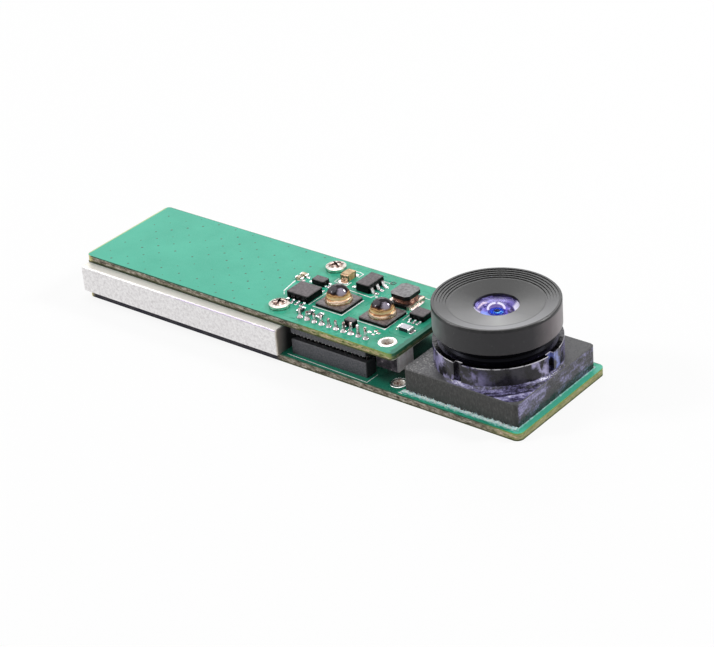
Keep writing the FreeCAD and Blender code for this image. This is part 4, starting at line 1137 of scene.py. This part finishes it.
def make_adhesive_fringe():
    """Uneven pale bead squeezed out along the holder's foot, with little strokes up the near side."""
    bead = Shape()
    edge = HOLDER_HALF
    square = [(-edge, -edge), (edge, -edge), (edge, edge), (-edge, edge), (-edge, -edge)]
    path = subdivide(square, 0.12)[:-1]
    points = []
    for p in path:
        lump = noise.fractal(Vector((p.x * 2.2, p.y * 2.2, 0.4)), 0.6, 2.0, 4)
        out = Vector((1 if p.x >= edge - 0.001 else -1 if p.x <= 0.001 - edge else 0,
                      1 if p.y >= edge - 0.001 else -1 if p.y <= 0.001 - edge else 0)).normalized()
        if out.y < -0.5:
            reach = min(0.58, max(0.34, 0.46 + 0.14 * lump))
            high = max(0.06, 0.13 + 0.16 * lump)
        else:
            reach = min(0.16, max(0.03, 0.07 + 0.1 * lump))
            high = max(0.03, 0.07 + 0.08 * lump)
        for share, lift in ((-0.08, 1.0), (0.02, 1.0), (0.45, 0.55), (0.85, 0.2), (1.0, 0.0)):
            across = share * reach if share > 0 else share
            z = MAIN_TOP + 0.003 + high * lift
            points.append((AXIS_X + p.x + out.x * across, p.y + out.y * across, z))
    bead.add(points, grid(len(path), 5, loop=True))
    for _ in range(190):
        x = AXIS_X + chance.uniform(-edge + 0.1, edge - 0.05)
        tall = chance.uniform(0.1, 0.42)
        wide = chance.uniform(0.015, 0.05)
        lean = chance.uniform(-0.10, 0.10)
        y = -edge - 0.012
        base = MAIN_TOP + 0.05
        points = [(x - wide, y, base), (x, y - 0.02, base), (x + wide, y, base),
                  (x + lean, y - 0.004, base + tall)]
        bead.add(points, [(0, 1, 3), (1, 2, 3), (2, 0, 3)])
    bead.piece("adhesive_bead", "adhesive", "adhesive_pale")


def make_lens():
    """The front lens as a thin clear cover over a hollow of coated glass, which the eye sees as rings."""
    cover = Shape()
    edge, low, apex = 2.37, 9.65, 10.1
    bend = (edge ** 2 + (apex - low) ** 2) / (2 * (apex - low))
    cap = []
    for i in range(15):
        radius = edge * (1 - i / 14)
        cap.append((max(radius, 0.002), apex - bend + math.sqrt(bend ** 2 - radius ** 2)))
    under = [(radius, z - 0.06) for radius, z in reversed(cap)]
    cover.turned((AXIS_X, 0), cap + under, 72)
    cover.piece("lens_cover", "lens", "lens_glass", replaces=("front_lens",))
    bowl = Shape()
    profile = [(2.37, 9.60), (2.2, 9.36), (1.9, 9.12), (1.55, 8.97), (1.2, 8.9), (1.1, 8.93), (0.95, 9.02),
               (0.7, 9.11), (0.4, 9.16), (0.15, 9.18)]
    bowl.turned((AXIS_X, 0), profile, 72, cap=True)
    bowl.piece("lens_bowl", "inner", "lens_glass")


# Camera, light and floor
CAMERA_TURN = math.radians(40.4411)
CAMERA_RISE = math.radians(29.3466)
CAMERA_ROLL = math.radians(-4.7408)
CAMERA_PLACE = Vector((145.277, -166.689, 125.198)) * METRE
CAMERA_LENS = 115.784


def make_camera():
    flat = math.cos(CAMERA_RISE)
    back = Vector((math.sin(CAMERA_TURN) * flat, -math.cos(CAMERA_TURN) * flat, math.sin(CAMERA_RISE)))
    level = Vector((math.cos(CAMERA_TURN), math.sin(CAMERA_TURN), 0))
    down = (-back).cross(level)
    right = level * math.cos(CAMERA_ROLL) - down * math.sin(CAMERA_ROLL)
    down = level * math.sin(CAMERA_ROLL) + down * math.cos(CAMERA_ROLL)
    data = bpy.data.cameras.new("camera")
    data.sensor_width = 36
    data.sensor_fit = "HORIZONTAL"
    data.lens = CAMERA_LENS
    data.clip_start = 0.005
    camera = bpy.data.objects.new("camera", data)
    turn = Matrix((right, -down, back)).transposed()
    camera.matrix_world = Matrix.Translation(CAMERA_PLACE) @ turn.to_4x4()
    bpy.context.scene.collection.objects.link(camera)
    bpy.context.scene.camera = camera


WHITE = (1000, 1000, 1000)
WORLD_LIGHT = 0.43
FLOOR_COLOUR = (880, 880, 880)
FLOOR_GLOW = 0.86
FLOOR_HALF = 3.0
FLOOR_LEVEL = -0.00002


def background_share(nodes):
    """1 for rays that see the background: from the camera, a gloss or through glass."""
    camera, gloss, glass = [nodes.node("ShaderNodeLightPath", {}, "Is " + kind + " Ray")
                            for kind in ("Camera", "Glossy", "Transmission")]
    return nodes.either(nodes.either(camera, gloss), glass)


def make_world():
    """White to the rays that see it, dimmer as a light."""
    world = bpy.data.worlds.new("studio")
    nodes = Nodes(world)
    light = nodes.node("ShaderNodeBackground", {0: WHITE, 1: WORLD_LIGHT})
    white = nodes.node("ShaderNodeBackground", {0: WHITE, 1: 1})
    mix = nodes.node("ShaderNodeMixShader", {0: background_share(nodes), 1: light, 2: white})
    nodes.node("ShaderNodeOutputWorld", {0: mix})
    bpy.context.scene.world = world


def make_floor():
    mesh = bpy.data.meshes.new("floor")
    signs = [(-1, -1), (1, -1), (1, 1), (-1, 1)]
    corners = [(FLOOR_HALF * x, FLOOR_HALF * y, FLOOR_LEVEL) for x, y in signs]
    mesh.from_pydata(corners, [], [(0, 1, 2, 3)])
    floor = bpy.data.objects.new("floor", mesh)
    bpy.context.scene.collection.objects.link(floor)
    material = bpy.data.materials.new("floor")
    nodes = Nodes(material)
    matt = nodes.node("ShaderNodeBsdfDiffuse", {0: FLOOR_COLOUR})
    glow = nodes.node("ShaderNodeEmission", {0: WHITE, 1: 1})
    share = background_share(nodes) * FLOOR_GLOW
    mix = nodes.node("ShaderNodeMixShader", {0: share, 1: matt, 2: glow})
    nodes.node("ShaderNodeOutputMaterial", {0: mix})
    mesh.materials.append(material)


def area_light(name, place, aim, width, height, watts):
    data = bpy.data.lights.new(name, "AREA")
    data.shape = "RECTANGLE"
    data.size, data.size_y = width, height
    data.energy = watts
    light = bpy.data.objects.new(name, data)
    place, aim = Vector(place), Vector(aim)
    light.location = place
    light.rotation_euler = (aim - place).to_track_quat("-Z", "Y").to_euler()
    bpy.context.scene.collection.objects.link(light)


def make_lights():
    middle = (0.005, 0, 0.003)
    area_light("soft_top", (-0.05, 0.05, 0.5), middle, 0.5, 0.4, 0.6)
    area_light("soft_left", (-0.38, -0.28, 0.33), middle, 0.12, 0.12, 1.0)
    area_light("soft_right", (0.33, 0.3, 0.33), (0.015, 0, 0.005), 0.10, 0.12, 1.25)
    area_light("soft_back", (-0.40, 0.47, 0.30), middle, 0.35, 0.25, 0.7)


make_camera()
make_world()
make_floor()
make_lights()
paint_nodes()
make_vias()
make_silk()
make_hole_rings()
make_solder_joints()
make_pins()
make_comb()
make_lamp_insides()
make_pads()
make_tracks()
make_choke_wire()
make_lens()
make_lacquer_pool()
make_adhesive_fringe()
bpy.context.scene.view_settings.view_transform = "Standard"
